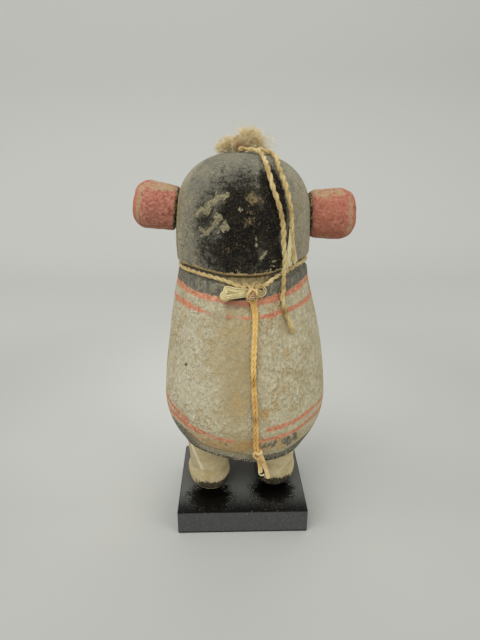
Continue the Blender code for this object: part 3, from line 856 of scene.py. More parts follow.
# The paint's marks on the figure. A line is its width in mm and its points, each
# a bearing and a height in mm above the plinth's top. A patch is a bearing, a
# height, half its size each way, and a strength.
RED_STRIPES = [
    (1.9, [(-80, 86.5), (-60, 86.2), (-40, 85.2), (-20, 84.6), (0, 83.9), (10, 84.0)]),
    (2.1, [(10, 84.0), (20, 84.6), (30, 85.3), (40, 85.9), (50, 86.6), (60, 87.5), (70, 88.0)]),
    (1.9, [(70, 88.0), (120, 87.6), (180, 86.6), (240, 86.4), (280, 86.5)]),
    (2.1, [(-75, 81.2), (-60, 81.4), (-50, 80.9), (-36, 80.4)]),
    (1.2, [(-36, 80.4), (-10, 79.6), (8, 79.5)]),
    (1.5, [(-2, 79.0), (1.5, 79.1)]),
    (1.7, [(6, 79.5), (20, 79.6), (25, 80.2), (38, 80.6), (55, 81.3), (80, 82.0)]),
    (1.4, [(80, 82.0), (130, 81.8), (180, 81.2), (240, 81.0), (285, 81.2)]),
    (1.7, [(-72, 43.6), (-50, 41.6), (-42, 40.6)]),
    (2.2, [(-80, 39.6), (-50, 39.0), (-40, 38.3), (-30, 37.7)]),
    (1.6, [(-30, 37.7), (-20, 36.8), (-10, 36.0)]),
    (1.9, [(13, 40.8), (25, 41.3), (35, 42.0), (50, 43.2)]),
    (1.4, [(6, 36.6), (20, 36.7)]),
    (1.6, [(20, 36.7), (33, 37.5), (45, 39.0), (60, 39.5), (120, 39.5), (180, 38.6)]),
    (1.3, [(180, 38.6), (240, 39.0), (285, 39.5)]),
    (1.3, [(50, 43.2), (120, 43.4), (180, 42.4), (240, 42.8), (292, 43.4)]),
]
SLATE_BLOCKS = [
    (1.3, [(10.6, 33.0), (12.4, 35.0)]),
    (0.9, [(11.6, 33.2), (20.0, 34.4)]),
    (1.3, [(14.2, 33.0), (15.8, 35.2)]),
    (1.7, [(17.6, 32.8), (19.2, 35.2)]),
    (1.9, [(25.6, 34.8), (27.4, 33.0)]),
    (2.0, [(28.5, 35.4), (31.5, 31.8)]),
    (1.8, [(33.4, 36.2), (36.4, 33.0)]),
    (0.7, [(-19.0, 34.4), (-18.0, 35.4)]),
    (0.6, [(-14.6, 33.8), (-14.2, 34.8)]),
]
CLAY_CHIPS = [
    (1.8, [(-31, 114.2), (-26, 114.8), (-21, 116.4), (-15, 117.0)]),
    (0.5, [(-26.5, 119.4), (-25, 118.8), (-23.6, 117.8)]),
    (1.3, [(-40, 110.8), (-38.4, 112.0), (-36.4, 112.6)]),
    (1.4, [(-34, 112.5), (-31.5, 111.8), (-29, 113.0)]),
    (0.8, [(-45.6, 110.2), (-44, 110.5)]),
    (1.2, [(-50.6, 114.4), (-49.6, 115.8)]),
    (0.8, [(48.0, 114.6), (49.4, 113.2)]),
    (0.5, [(50.0, 100.4), (51.0, 99.2)]),
    (0.5, [(-43, 109.4), (-41, 109.2)]),
    (1.9, [(-22.6, 111.0), (-19.6, 110.6)]),
    (1.1, [(-21.4, 109.6), (-25, 108.0), (-28, 106.6), (-31.4, 105.4)]),
    (0.8, [(-33.4, 104.8), (-35, 104.5)]),
    (1.7, [(-17.6, 107.4), (-13.8, 107.6)]),
    (1.0, [(-16.4, 108.8), (-15.4, 109.2)]),
    (0.6, [(-20.4, 106.4), (-21.4, 105.8)]),
    (1.3, [(-37, 106.6), (-33.4, 106.2)]),
    (0.9, [(-48, 105.2), (-45, 104.5), (-43, 104.7)]),
    (0.7, [(-40, 104.2), (-35, 104.5), (-30.4, 105.3)]),
    (0.8, [(-4.2, 113.2), (-3.0, 112.8)]),
    (0.3, [(8.2, 101.6), (8.4, 105.0)]),
    (0.9, [(11.6, 97.8), (13.4, 98.8), (16.2, 100.2)]),
    (0.4, [(20.4, 97.0), (28.0, 97.2)]),
    (0.5, [(22.6, 95.2), (23.2, 95.3)]),
    (0.5, [(-8.0, 95.2), (-6.2, 93.8), (-4.0, 94.2)]),
    (0.5, [(7.6, 93.8), (9.4, 94.2)]),
    (0.6, [(12.0, 94.0), (13.4, 94.4)]),
    (0.6, [(16.0, 94.0), (20.6, 94.3)]),
    (0.5, [(-0.6, 125.2), (1.0, 125.3)]),
    (0.8, [(53.4, 101.8), (55.0, 102.4)]),
    (0.7, [(150, 112), (156, 110)]),
    (1.2, [(212, 104), (216, 106)]),
    (0.6, [(250, 118), (254, 117)]),
]
SOOT = [
    (21.5, 107, 5.5, 14, 1.0),
    (17.5, 119, 4.5, 4.5, 0.95),
    (30.0, 119, 4.0, 6.5, 1.0),
    (32.0, 111, 2.4, 4.0, 0.9),
    (7.0, 109, 17, 6.5, 0.8),
    (-8.0, 108, 9.0, 6.0, 0.75),
    (-14.0, 112, 7.0, 3.0, 0.6),
    (-4.0, 103, 13, 5.0, 0.7),
    (-8.0, 98, 24, 6.5, 0.55),
    (23.0, 97.5, 8.0, 5.0, 0.9),
    (5.0, 95, 24, 3.0, 0.55),
    (0.0, 120, 17, 4.5, 0.42),
    (10.0, 126, 60, 3.0, 0.14),
    (-3.0, 116, 14, 3.0, 0.55),
    (-16.0, 107.0, 30.0, 13.0, 0.34),
    (-34.0, 108.5, 10.0, 6.0, 0.22),
    (-22.0, 119, 15, 5.0, 0.2),
    (-30.0, 117, 11, 5.0, 0.08),
    (-37.0, 108.5, 8.0, 5.0, 0.1),
    (-33.0, 99, 12, 6.0, 0.12),
    (185, 108, 40, 9.0, 0.4),
]
# Dust patches. The one on the blanket's left flank is partly painted light.
DUST_AND_LIGHT_PATCHES = [
    (62, 108, 22, 26, 0.7),
    (-75, 110, 15, 22, 0.9),
    (-45, 62, 26, 24, 0.55),
    (40, 127, 40, 4.5, 0.3),
    (120, 100, 30, 12, 0.5),
    (250, 120, 30, 10, 0.6),
]
TAN_SMEARS = [
    (5.0, 116.4, 5.0, 2.0, 0.75),
    (12.0, 115.6, 4.0, 1.6, 0.55),
    (3.0, 110.0, 9.0, 4.0, 0.35),
    (-22, 115.6, 8.0, 1.8, 0.5),
    (53.0, 116.5, 4.0, 2.4, 0.6),
    (-49, 116.5, 3.0, 2.0, 0.6),
    (-67, 112.0, 6.0, 8.0, 0.9),
    (-75, 98.0, 4.0, 8.0, 0.8),
    (50.0, 113, 4.0, 3.0, 0.6),
    (52.0, 100, 3.0, 3.0, 0.6),
    (58.0, 119, 4.0, 4.0, 0.5),
    (-45, 101.0, 5.0, 4.0, 0.3),
    (14.0, 99.0, 4.0, 2.4, 0.4),
    (-10, 101.0, 10.0, 2.0, 0.25),
]
OCHRE_STAINS = [
    (11.0, 46.6, 3.4, 2.6, 0.9),
    (17.0, 50.0, 4.0, 2.6, 0.6),
    (28.0, 46.4, 3.0, 1.6, 0.5),
    (-24.0, 43.6, 1.6, 3.0, 0.7),
    (-6.0, 52.0, 1.2, 4.6, 0.6),
    (-5.0, 46.0, 5.0, 5.0, 0.45),
    (-60.0, 61.0, 1.8, 1.6, 0.9),
    (-4.0, 33.6, 56.0, 4.6, 0.85),
    (30.0, 62.0, 14.0, 5.0, 0.25),
    (24.0, 67.0, 7.0, 3.4, 0.35),
    (-58.0, 74.0, 9.0, 3.0, 0.3),
    (60.0, 50.0, 8.0, 7.0, 0.25),
    (150, 60, 30, 10, 0.35),
    (215, 50, 12, 8, 0.4),
]
# Dark dots on the blanket. The last three lines are painted shadow: above and below the bow's
# left loop, and just under the mask's rim.
DARK_DOTS_AND_SHADOWS = [
    (1.0, [(-47.0, 60.6), (-45.4, 60.9)]),
    (0.4, [(-1.2, 58.6), (-0.8, 58.6)]),
    (0.5, [(33.0, 60.6), (33.4, 60.5)]),
    (0.6, [(34.0, 51.0), (34.6, 50.6)]),
    (0.5, [(56.6, 57.8), (57.0, 58.2)]),
    (0.4, [(23.2, 83.8), (23.5, 83.9)]),
    (0.5, [(-46.0, 40.8), (-44.6, 40.6)]),
    (0.5, [(170, 66), (171, 66.5)]),
    (1.2, [(-15.0, 89.6), (-9.0, 89.0), (-3.0, 88.4)]),
    (1.0, [(-10.0, 85.1), (-1.0, 85.3)]),
    (0.9, [(-16.0, 91.9), (4.0, 91.8), (22.0, 92.0)]),
]
FADED = [
    (-16.0, 79.8, 20.0, 2.5, 0.65),
    (0.0, 79.0, 3.4, 2.0, 0.6),
    (-12.0, 36.6, 14.0, 2.0, 0.25),
    (40.0, 85.4, 8.0, 2.0, 0.3),
]
GRIME = [
    (-9.0, 83.6, 9.0, 1.8, 0.9),
    (4.0, 83.0, 6.0, 2.4, 0.5),
    (-20.0, 79.8, 14.0, 2.0, 0.45),
    (24.0, 83.8, 3.0, 1.0, 0.4),
    (-62.0, 84.0, 6.0, 2.0, 0.3),
]
FACE_SLITS = [
    (2.2, [(158, 112.6), (172, 112.2)]),
    (2.2, [(188, 112.2), (202, 112.6)]),
    (2.4, [(174, 102.4), (186, 102.4)]),
]
# Patches rubbed smooth and brown by handling. The one at bearing 28 is a painted shadow beside
# the long crown cord.
WORN_SMOOTH_AND_CORD_SHADOW = [
    (-6.0, 60, 11.0, 24, 0.75),
    (-12.0, 66, 24.0, 24, 0.5),
    (28.0, 76, 5.0, 6.0, 0.7),
    (3.0, 35, 30.0, 4.0, 0.45),
    (180, 60, 25.0, 20, 0.5),
]

PLINTH_TOP = 10
NO_MARK = -9.0
count = len(carved.vertices)
spots = np.zeros(count * 3)
carved.vertices.foreach_get("co", spots)
spots = spots.reshape(-1, 3)
level_mm = spots[:, 2] / MM - PLINTH_TOP
axis = middle_x(level_mm * MM - SEAT)
bearings = np.degrees(np.arctan2(spots[:, 0] - axis, -spots[:, 1]))
reaches = np.hypot(spots[:, 0] - axis, spots[:, 1]) / MM


def line_depth(marks):
    """How far inside the nearest painted line each vertex is, in mm."""
    best = np.full(count, NO_MARK)
    for width, line in marks:
        for (b0, z0), (b1, z1) in zip(line, line[1:]):
            for turn in (0, -360):
                sideways = np.radians(bearings - (b0 + turn)) * reaches
                step = math.radians(b1 - b0) * np.maximum(reaches, 4)
                rise = z1 - z0
                up = level_mm - z0
                share = np.clip((sideways * step + up * rise) / (step**2 + rise**2), 0, 1)
                gap = np.hypot(sideways - share * step, up - share * rise)
                best = np.maximum(best, width / 2 - gap)
    return best


def patch_strength(patches):
    """How strongly soft-edged patches cover each vertex, from 0 to 1."""
    bare = np.ones(count)
    for b, z, half_b, half_z, strength in patches:
        aside = (bearings - b + 180) % 360 - 180
        away = np.hypot(aside / half_b, (level_mm - z) / half_z)
        bare *= 1 - strength * (1 - smooth_step(away, 0.3, 1.6))
    return 1 - bare


def write_attribute(mesh, name, values):
    """A number for each vertex, which the mesh's paint reads by its name."""
    made = mesh.attributes.new(name, "FLOAT", "POINT")
    made.data.foreach_set("value", np.asarray(values, np.float32))


rim_level = (RIM + SOLE) / MM - PLINTH_TOP + rim_lift(bearings, RIM + 0.01 * MM) / MM
first_stripe = sorted((b % 360, z) for _, line in RED_STRIPES[:3] for b, z in line)
stripe_top = np.interp(
    bearings, [b for b, _ in first_stripe], [z for _, z in first_stripe], period=360
)
above_stripe = np.minimum(level_mm - stripe_top - 0.6, rim_level - level_mm)
on_leg = 1 - smooth_step(level_mm, 22.6, 23.6)
back_of_neck = 1 - smooth_step(np.abs(bearings - 3), 16, 24)
worn_under_hitch = patch_strength([(5.0, 86.4, 3.0, 1.5, 1.0)])
back_of_neck = np.maximum(back_of_neck * smooth_step(level_mm, 88.6, 89.6), worn_under_hitch)

# The hem's smoked band is deeper to the sides, and its lowest edge is frayed
above_legs = level_mm >= 23.0
hem_level = HEM / MM + hem_rise(bearings)
deeper_left = 3.5 + 3.0 * np.exp(-(((bearings + 60) / 28) ** 2))
hem_top = hem_level + 4.6 - 1.2 * smooth_step(bearings, -5, 12)
hem_top += deeper_left * smooth_step(np.abs(bearings), 24, 52)
dark_hem = np.maximum(smooth_step(bearings, -6, 8), smooth_step(np.abs(bearings), 34, 50))

# The moccasins: soot round the heels, a seam's crease on the left ankle drawn as a
# painted highlight with painted shade on its folded side, and a painted highlight
# along a fold that crosses the right heel like a strap
across_mm = spots[:, 0] / MM
ahead_mm = spots[:, 1] / MM
heel_height = (spots[:, 2] - SOLE) / MM
on_left = spots[:, 0] < LEG_MIDDLE
off_heel = np.abs(across_mm - np.where(on_left, -10.6, 13.0))
clean_rim = np.where(on_left, smooth_step(heel_height, 0.4, 1.2), 1.0)
heel = (1 - smooth_step(heel_height, 2.0, 5.2)) * clean_rim
heel *= 1 - 0.75 * smooth_step(off_heel, 5.0, 9.0)
heel *= 1 - 0.6 * smooth_step(ahead_mm, -6, 8)
inner_side = (1 - smooth_step(across_mm, 7.6, 10.6)) * (1 - smooth_step(heel_height, 5.5, 9.0))
inner_side *= 1 - smooth_step(ahead_mm, 0, 8)
heel = np.where(on_left, heel, np.maximum(heel, inner_side))
CREASE = {7.8: -18.9, 8.4: -18.7, 9.4: -16.3, 21.0: -20.2, 25.0: -21.0}
past_crease = across_mm - np.interp(heel_height, list(CREASE), list(CREASE.values()))
at_back = (ahead_mm < 0) & (heel_height > 7.8) & (heel_height < 24.0)
off_strap = heel_height - (4.9 + 0.84 * (across_mm - 12.6))
on_strap = (ahead_mm < 0) & (heel_height > 4.4) & (heel_height < 12.0) & ~on_left
PAINTED = {
    "stripe": line_depth(RED_STRIPES) - 0.55 * patch_strength(FADED),
    "slate": np.maximum(above_stripe, line_depth(SLATE_BLOCKS)),
    "mask": level_mm - rim_level,
    "chip": line_depth(CLAY_CHIPS),
    "dot": line_depth(DARK_DOTS_AND_SHADOWS),
    "slit": line_depth(FACE_SLITS),
    "grime": patch_strength(GRIME),
    "soot": patch_strength(SOOT),
    "smear": patch_strength(TAN_SMEARS),
    "ochre": patch_strength(OCHRE_STAINS),
    "rubbed": np.maximum(patch_strength(WORN_SMOOTH_AND_CORD_SHADOW), on_leg),
    "leg": on_leg,
    "dusty": patch_strength(DUST_AND_LIGHT_PATCHES),
    "bare": back_of_neck,
    "hem": np.where(above_legs, hem_top - level_mm, NO_MARK),
    "edge": np.where(above_legs, hem_level + 0.9 - level_mm, NO_MARK),
    "dark_hem": 0.35 + 0.65 * dark_hem,
    "heel": 1.6 * heel - 0.6,
    "crease": np.where(at_back, 0.75 - np.abs(past_crease - 0.55), NO_MARK),
    "strap": np.where(on_strap, 0.5 - 0.77 * np.abs(off_strap), NO_MARK),
    "flap": np.where(at_back, -past_crease, NO_MARK),
}
for name, values in PAINTED.items():
    write_attribute(carved, name, values)


def marks_on(tree, names):
    """The numbers that a mesh's vertices carry, each by its name."""
    found = {}
    for name in names:
        node = add_node(tree, "ShaderNodeAttribute", {"attribute_name": name})
        found[name] = node.outputs["Fac"]
    return found


def minus(tree, first, second):
    """One value less another."""
    take = {"operation": "SUBTRACT"}
    return add_node(tree, "ShaderNodeMath", take, _0=first, _1=second).outputs[0]


def times(tree, *values):
    """The product of values, so that a mark shows only where all of them do."""
    product = values[0]
    for value in values[1:]:
        multiply = {"operation": "MULTIPLY"}
        product = add_node(tree, "ShaderNodeMath", multiply, _0=product, _1=value).outputs[0]
    return product


def wander(tree, mark, *noises):
    """A mark moved in and out by noises, each with how far in the mark's own units."""
    for texture, amount in noises:
        mark = plus(tree, mark, minus(tree, texture, 0.5), amount)
    return mark


def soft_edge(tree, mark, low, high, *noises):
    """0 where a mark is below low and 1 above high, with an edge that noises fray."""
    settings = {"interpolation_type": "SMOOTHSTEP"}
    mark = wander(tree, mark, *noises)
    node = add_node(
        tree, "ShaderNodeMapRange", settings, Value=mark, From_Min=low, From_Max=high
    )
    return node.outputs["Result"]


def lay_over(tree, under, over, where, strength=1.0):
    """One colour laid over another where a mark is, at that strength."""
    if strength != 1.0:
        where = times(tree, where, strength)
    under, over = (colour(c) if isinstance(c, str) else c for c in (under, over))
    node = add_node(tree, "ShaderNodeMix", {"data_type": "RGBA"}, _0=where, _6=under, _7=over)
    return node.outputs[2]


def noise_at(tree, place, size_mm, detail=3.0, roughness=0.55, distortion=0.0):
    """Noise whose grains are about that many millimetres across."""
    node = add_node(
        tree,
        "ShaderNodeTexNoise",
        Vector=place,
        Scale=1000 / size_mm,
        Detail=detail,
        Roughness=roughness,
        Distortion=distortion,
    )
    return node.outputs["Fac"]


# Clay paint on cottonwood: dead matt, pitted where it was laid on thick, rubbed
# smooth and brown where it was held, and worn through at the edges. Its colour also
# holds painted shade in the pits, painted highlights on the bumps, a painted shadow
# beside the long crown cord and painted light on the blanket's left flank
clay_paint, tree, shader, place = new_material("clay paint on cottonwood", 0.9, 0.2)
strokes = add_node(tree, "ShaderNodeMapping", Vector=place, Scale=(1.0, 1.0, 0.28)).outputs[0]
painted = marks_on(tree, PAINTED)
broad = noise_at(tree, place, 14.0, 4.0)
medium = noise_at(tree, place, 4.2, 4.0, 0.62)
small = noise_at(tree, place, 1.5, 3.0, 0.6)
grain = noise_at(tree, place, 0.55, 2.0, 0.6)
brushed = noise_at(tree, strokes, 1.2, 4.0, 0.65)
drawn_down = add_node(tree, "ShaderNodeMapping", Vector=place, Scale=(1.0, 1.0, 0.6)).outputs[0]
pits = noise_at(tree, drawn_down, 1.0, 2.0, 0.55, 0.4)

# The blanket's cream clay, with its stains, stripes and grey bands
cream = shades(tree, small, (0.3, "B1A789"), (0.5, "BEB493"), (0.7, "CAC1A3"))
cream = lay_over(tree, cream, "AD9F78", soft_edge(tree, medium, 0.45, 0.7), 0.45)
cream = lay_over(tree, cream, "C3BB9C", soft_edge(tree, broad, 0.45, 0.65), 0.35)
# Dust, which on the blanket's left flank is partly painted light
cream = lay_over(tree, cream, "CBC5B0", painted["dusty"], 0.6)
# Rubbed brown where it was held, and a painted shadow beside the long crown cord
rubbed = soft_edge(tree, painted["rubbed"], -0.1, 1.15, (broad, 0.9), (medium, 0.5))
cream = lay_over(tree, cream, "9C8B65", rubbed, 0.95)
leg_clay = shades(tree, medium, (0.35, "B5A174"), (0.5, "C3B186"), (0.65, "CFC09A"))
cream = lay_over(tree, cream, leg_clay, painted["leg"])
thick = minus(tree, 1.0, times(tree, rubbed, 0.85))
uneven_coat = plus(tree, 0.75, soft_edge(tree, broad, 0.32, 0.68), 0.6)
thick = times(tree, thick, uneven_coat)
warm = soft_edge(tree, medium, 0.5, 0.66, (broad, 0.9), (small, 0.3))
cream = lay_over(tree, cream, "B09A6E", warm, 0.5)
# Painted shade in the paint's pits and painted highlights on the bumps between them
pit_shade = times(tree, minus(tree, 1.0, soft_edge(tree, pits, 0.32, 0.46)), thick)
cream = lay_over(tree, cream, "8F8160", pit_shade, 0.34)
bump_highlight = times(tree, soft_edge(tree, pits, 0.54, 0.68), thick)
cream = lay_over(tree, cream, "D8D0B6", bump_highlight, 0.5)
ochre = soft_edge(tree, painted["ochre"], 0.3, 0.95, (medium, 0.9), (small, 0.6))
cream = lay_over(tree, cream, "B8945E", ochre, 0.8)
specks = soft_edge(tree, grain, 0.69, 0.76)
cream = lay_over(tree, cream, "75674A", specks, 0.55)
slate = shades(tree, brushed, (0.34, "56554C"), (0.5, "716E61"), (0.66, "8F8972"))
slate = lay_over(tree, slate, "958B6E", soft_edge(tree, medium, 0.5, 0.7), 0.5)
hem_grey = shades(tree, grain, (0.36, "45443F"), (0.52, "66645A"), (0.68, "B5AB8E"))
hem_mark = wander(tree, painted["hem"], (medium, 2.6), (small, 2.0))
hem_line = soft_edge(tree, hem_mark, -0.7, -0.2)
hem_line = times(tree, hem_line, soft_edge(tree, hem_mark, 0.5, 0.0))
in_hem = times(tree, soft_edge(tree, hem_mark, -0.4, 0.3), painted["dark_hem"])
body = lay_over(tree, cream, hem_grey, in_hem, 0.9)
body = lay_over(tree, body, "4A4238", hem_line, 0.4)
frayed_edge = soft_edge(tree, painted["edge"], -0.1, 0.3, (small, 1.6), (grain, 0.8))
edge_tone = shades(tree, grain, (0.5, "2C2923"), (0.62, "BDB498"))
body = lay_over(tree, body, edge_tone, frayed_edge, 0.85)
in_slate = soft_edge(tree, painted["slate"], -0.2, 0.25, (medium, 1.6), (small, 1.2))
body = lay_over(tree, body, slate, in_slate)
red = shades(tree, small, (0.3, "BF7452"), (0.5, "CB8667"), (0.7, "D6A685"))
stripe = soft_edge(tree, painted["stripe"], -0.22, 0.25, (medium, 1.1), (small, 1.0))
gaps = soft_edge(tree, small, 0.2, 0.42, (grain, 0.5), (medium, 0.4))
body = lay_over(tree, body, red, times(tree, stripe, gaps))
grime = soft_edge(tree, painted["grime"], 0.15, 0.9, (small, 1.2), (medium, 0.8))
body = lay_over(tree, body, "6E4A3E", grime, 0.6)
# The dark dots, with the painted shadow lines above and below the bow's left loop and under the
# rim
dots_and_shade = soft_edge(tree, painted["dot"], -0.15, 0.2, (small, 0.6))
bare_wood = shades(tree, brushed, (0.35, "8C7A54"), (0.55, "B3A278"), (0.72, "CDBE94"))
body = lay_over(tree, body, bare_wood, painted["bare"])
body = lay_over(tree, body, "3B3023", dots_and_shade, 0.85)
# Painted shade on the left moccasin's folded side, a painted highlight along its seam's crease,
# and one along the fold over the right heel
body = lay_over(tree, body, "ADA385", soft_edge(tree, painted["flap"], -0.1, 0.3), 0.5)
crease = soft_edge(tree, painted["crease"], -0.1, 0.5, (small, 1.0), (medium, 0.6))
body = lay_over(tree, body, "E4DABA", crease, 0.75)
strap = soft_edge(tree, painted["strap"], -0.1, 0.5, (small, 0.8), (medium, 0.5))
body = lay_over(tree, body, "DCD1AE", strap, 0.5)
heel = wander(tree, painted["heel"], (brushed, 1.8), (grain, 1.0), (small, 0.8))
heel_soot = shades(
    tree, grain, (0.4, "0F0D0A"), (0.55, "2E2820"), (0.66, "6A6050"), (0.74, "B3A88C")
)
body = lay_over(tree, body, heel_soot, soft_edge(tree, heel, -0.25, 0.4), 0.95)

# The mask: soot over a grey-olive ground, scuffed and chipped to the clay
ground = shades(tree, medium, (0.34, "757366"), (0.5, "8A8673"), (0.66, "9C957C"))
dusty = soft_edge(tree, painted["dusty"], 0.1, 0.9, (medium, 0.6), (small, 0.3))
ground = lay_over(tree, ground, "ABA288", dusty, 0.85)
flecks = soft_edge(tree, grain, 0.5, 0.68, (small, 0.8))
ground = lay_over(tree, ground, "918870", flecks, 0.5)
dark_flecks = soft_edge(tree, grain, 0.46, 0.3, (small, 0.8))
ground = lay_over(tree, ground, "4F4C42", dark_flecks, 0.25)
soot_edge = wander(tree, painted["soot"], (medium, 0.7), (small, 0.8), (grain, 0.9))
dim = soft_edge(tree, soot_edge, -0.02, 0.62)
head = lay_over(tree, ground, "35342D", dim)
deep = soft_edge(tree, soot_edge, 0.4, 0.72)
soot = shades(tree, grain, (0.38, "080705"), (0.52, "16130D"), (0.66, "383223"))
soot = lay_over(tree, soot, "332E20", soft_edge(tree, medium, 0.5, 0.66), 0.5)
head = lay_over(tree, head, soot, deep)
scuffs = times(tree, soft_edge(tree, brushed, 0.54, 0.7), soft_edge(tree, grain, 0.42, 0.62))
head = lay_over(tree, head, "786F58", scuffs, 0.5)
smear = soft_edge(tree, painted["smear"], 0.3, 0.9, (small, 1.5), (grain, 1.2))
head = lay_over(tree, head, "8B7A54", smear, 0.75)
chip = soft_edge(tree, painted["chip"], -0.15, 0.2, (small, 1.9), (medium, 1.3), (grain, 0.9))
chip_clay = shades(tree, grain, (0.34, "6F6850"), (0.5, "948A6A"), (0.64, "AA9F7E"))
head = lay_over(tree, head, chip_clay, chip, 0.85)
slit = wander(tree, painted["slit"], (small, 0.9), (grain, 0.4))
head = lay_over(tree, head, "A89D7C", soft_edge(tree, slit, -0.95, -0.7), 0.8)
head = lay_over(tree, head, "15130F", soft_edge(tree, slit, -0.15, 0.1))
rim_wear = minus(tree, 0.9, painted["mask"])
rim_wear = soft_edge(tree, rim_wear, -0.1, 0.25, (small, 1.6), (medium, 1.4))
head = lay_over(tree, head, "B39A6C", rim_wear)
whole = lay_over(tree, body, head, soft_edge(tree, painted["mask"], -0.5, -0.3))

relief = times(tree, pits, thick, 1.9)
relief = plus(tree, relief, small, 0.35)
relief = plus(tree, relief, brushed, 0.35)
relief = plus(tree, relief, grain, 0.18)
relief = plus(tree, relief, chip, -0.2)
surface(tree, shader, whole, relief, 1.0, 0.8 * MM)
figure = add_piece("figure_carving", carved, clay_paint)
carved.shade_smooth()
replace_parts(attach(figure, "root"), "figure")


# The ears. Two short cottonwood knobs, whittled squarish and glued to the mask,
# under thick red clay paint that has worn to cream on the edges. Each has a side,
# a height above the rim, a radius, a length, a tilt and an inner rounding.
EAR_STEPS = 96
EAR_ROUND = 5.2
EARS = {
    "ear_left": (-1, 19.3, 8.1, 15.0, 9.0, 1.4),
    "ear_right": (1, 16.3, 8.8, 16.6, 0.5, 3.2),
}
ear_paint, tree, shader, place = new_material("worn red clay paint", 0.9, 0.25)
marks = marks_on(tree, ("worn", "tip", "joint", "earthy"))
medium = noise_at(tree, place, 3.4, 4.0, 0.6)
small = noise_at(tree, place, 1.1, 3.0, 0.6, 0.4)
grain = noise_at(tree, place, 0.5, 2.0)
red = shades(tree, small, (0.34, "935547"), (0.47, "AC6A56"), (0.6, "B67C69"), (0.7, "BD8E79"))
red = lay_over(tree, red, "AC8168", soft_edge(tree, medium, 0.5, 0.68), 0.45)
red = lay_over(tree, red, "BC7056", times(tree, marks["tip"], soft_edge(tree, medium, 0.36, 0.5)))
earthy = times(tree, marks["earthy"], soft_edge(tree, medium, 0.3, 0.6))
red = lay_over(tree, red, "A8644A", earthy, 0.6)
worn = soft_edge(tree, marks["worn"], 0.3, 1.0, (medium, 2.2), (small, 1.3), (grain, 0.8))
paint = lay_over(tree, red, "AD9672", worn, 0.8)
glue = shades(tree, small, (0.46, "3A2E21"), (0.56, "94815B"))
joint = soft_edge(tree, marks["joint"], 0.4, 0.6, (small, 1.2))
paint = lay_over(tree, paint, glue, joint)
paint = lay_over(tree, paint, "C9B597", soft_edge(tree, grain, 0.64, 0.74), 0.55)
relief = plus(tree, medium, small, 1.3)
relief = plus(tree, relief, grain, 0.3)
surface(tree, shader, paint, relief, 1.0, 0.6 * MM)
for name, (side, rise, radius, length, tilt, inner_round) in EARS.items():
    profile = [(0.0, 0.0)]
    for a in np.linspace(0, math.pi / 2, 8):
        out = radius * 0.94 - inner_round * (1 - math.sin(a))
        profile.append((inner_round * (1 - math.cos(a)), out))
    for a in np.linspace(0, math.pi / 2, 16):
        out = radius - EAR_ROUND * (1 - math.cos(a))
        profile.append((length - EAR_ROUND * (1 - math.sin(a)), out))
    profile.append((length + 0.08 * radius, 0.0))
    profile = even_points([(x * MM, z * MM) for x, z in profile], 0.5 * MM)
    bm = turned([(x, 0.0, z) for x, z in profile], (1, 0, 0), EAR_STEPS)
    middle = RIM + rise * MM
    inner = figure_radius(middle) - 0.8 * MM
    turn = math.radians(tilt)
    along = np.array([v.co.x for v in bm.verts]) / (length * MM)
    upward = np.array([v.co.z for v in bm.verts]) / (radius * MM)
    for vert in bm.verts:
        push = noise.noise(vert.co * 260 + Vector((side * 3, 0, 0))) * 0.3
        push += noise.noise(vert.co * 700) * 0.12
        vert.co *= 1 + push * MM / max(vert.co.length, 4 * MM)
    bmesh.ops.rotate(bm, verts=bm.verts, matrix=Matrix.Rotation(-turn, 3, "Y"))
    drop = 0.5 * length * MM * math.sin(turn)
    bmesh.ops.translate(bm, verts=bm.verts, vec=(inner, 0.5 * MM, middle + SOLE - drop))
    if side < 0:
        bmesh.ops.scale(bm, verts=bm.verts, vec=(-1, 1, 1))
    made = finished_mesh(bm, f"{name}_knob")
    made.shade_smooth()
    rim_band = 0.85 * np.exp(-(((along - 0.84) / 0.08) ** 2))
    rim_band *= 1 - smooth_step(np.abs(upward), 0.7, 1.0)
    top_band = smooth_step(upward, 0.55, 0.85) * (1 - smooth_step(along, 0.6, 0.85))
    bottom_from = 0.5 if side < 0 else 0.66
    bottom_band = smooth_step(-upward, bottom_from, 0.85) * (1 - smooth_step(along, 0.8, 0.95))
    flat_bands = np.maximum(0.85 * top_band, 0.6 * bottom_band)
    write_attribute(made, "worn", np.maximum(rim_band, flat_bands))
    write_attribute(made, "tip", smooth_step(along, 0.86, 0.94))
    joint_end = 0.08 if side < 0 else 0.12
    write_attribute(made, "joint", 1 - smooth_step(along, 0.02, joint_end))
    write_attribute(made, "earthy", np.full(len(along), 0.0 if side < 0 else 1.0))
    ear = add_piece(f"{name}_knob", made, ear_paint)
    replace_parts(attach(ear, "root"), name)


# The tuft. Old golden down, tied and pushed into the crown: a dense felted heart
# with hundreds of fine barbs that stand out of it. Each lobe has its middle, its
# half sizes, and its barbs' count, thickness and curl.
TUFT_LOBES = [
    ((-6.8, 0.8, 1.3), (2.2, 2.4, 1.5), 260, 0.09, 1.3),
    ((-4.4, 0.8, 2.2), (2.7, 3.0, 2.3), 440, 0.09, 1.3),
    ((-1.4, 1.0, 2.4), (2.6, 3.0, 2.3), 420, 0.09, 1.3),
    ((0.8, 1.0, 4.2), (2.8, 3.2, 2.9), 520, 0.09, 1.5),
    ((3.2, 1.0, 3.9), (3.0, 3.4, 3.3), 620, 0.09, 1.5),
    ((5.0, 1.0, 1.8), (2.2, 2.8, 1.9), 260, 0.08, 1.5),
    ((7.6, 1.2, 2.8), (3.4, 3.0, 3.4), 130, 0.05, 3.2),
    ((1.4, 1.0, 5.6), (5.6, 3.4, 4.4), 110, 0.045, 2.6),
    ((-6.0, 1.0, 2.4), (3.6, 3.0, 2.8), 80, 0.045, 2.4),
]
BARB_POINTS = 7
BARB_STEP = 0.38 * MM
ROOT = Vector((-0.8, -2.0, 0.6)) * MM + Vector((0, 0, CROWN + SOLE))
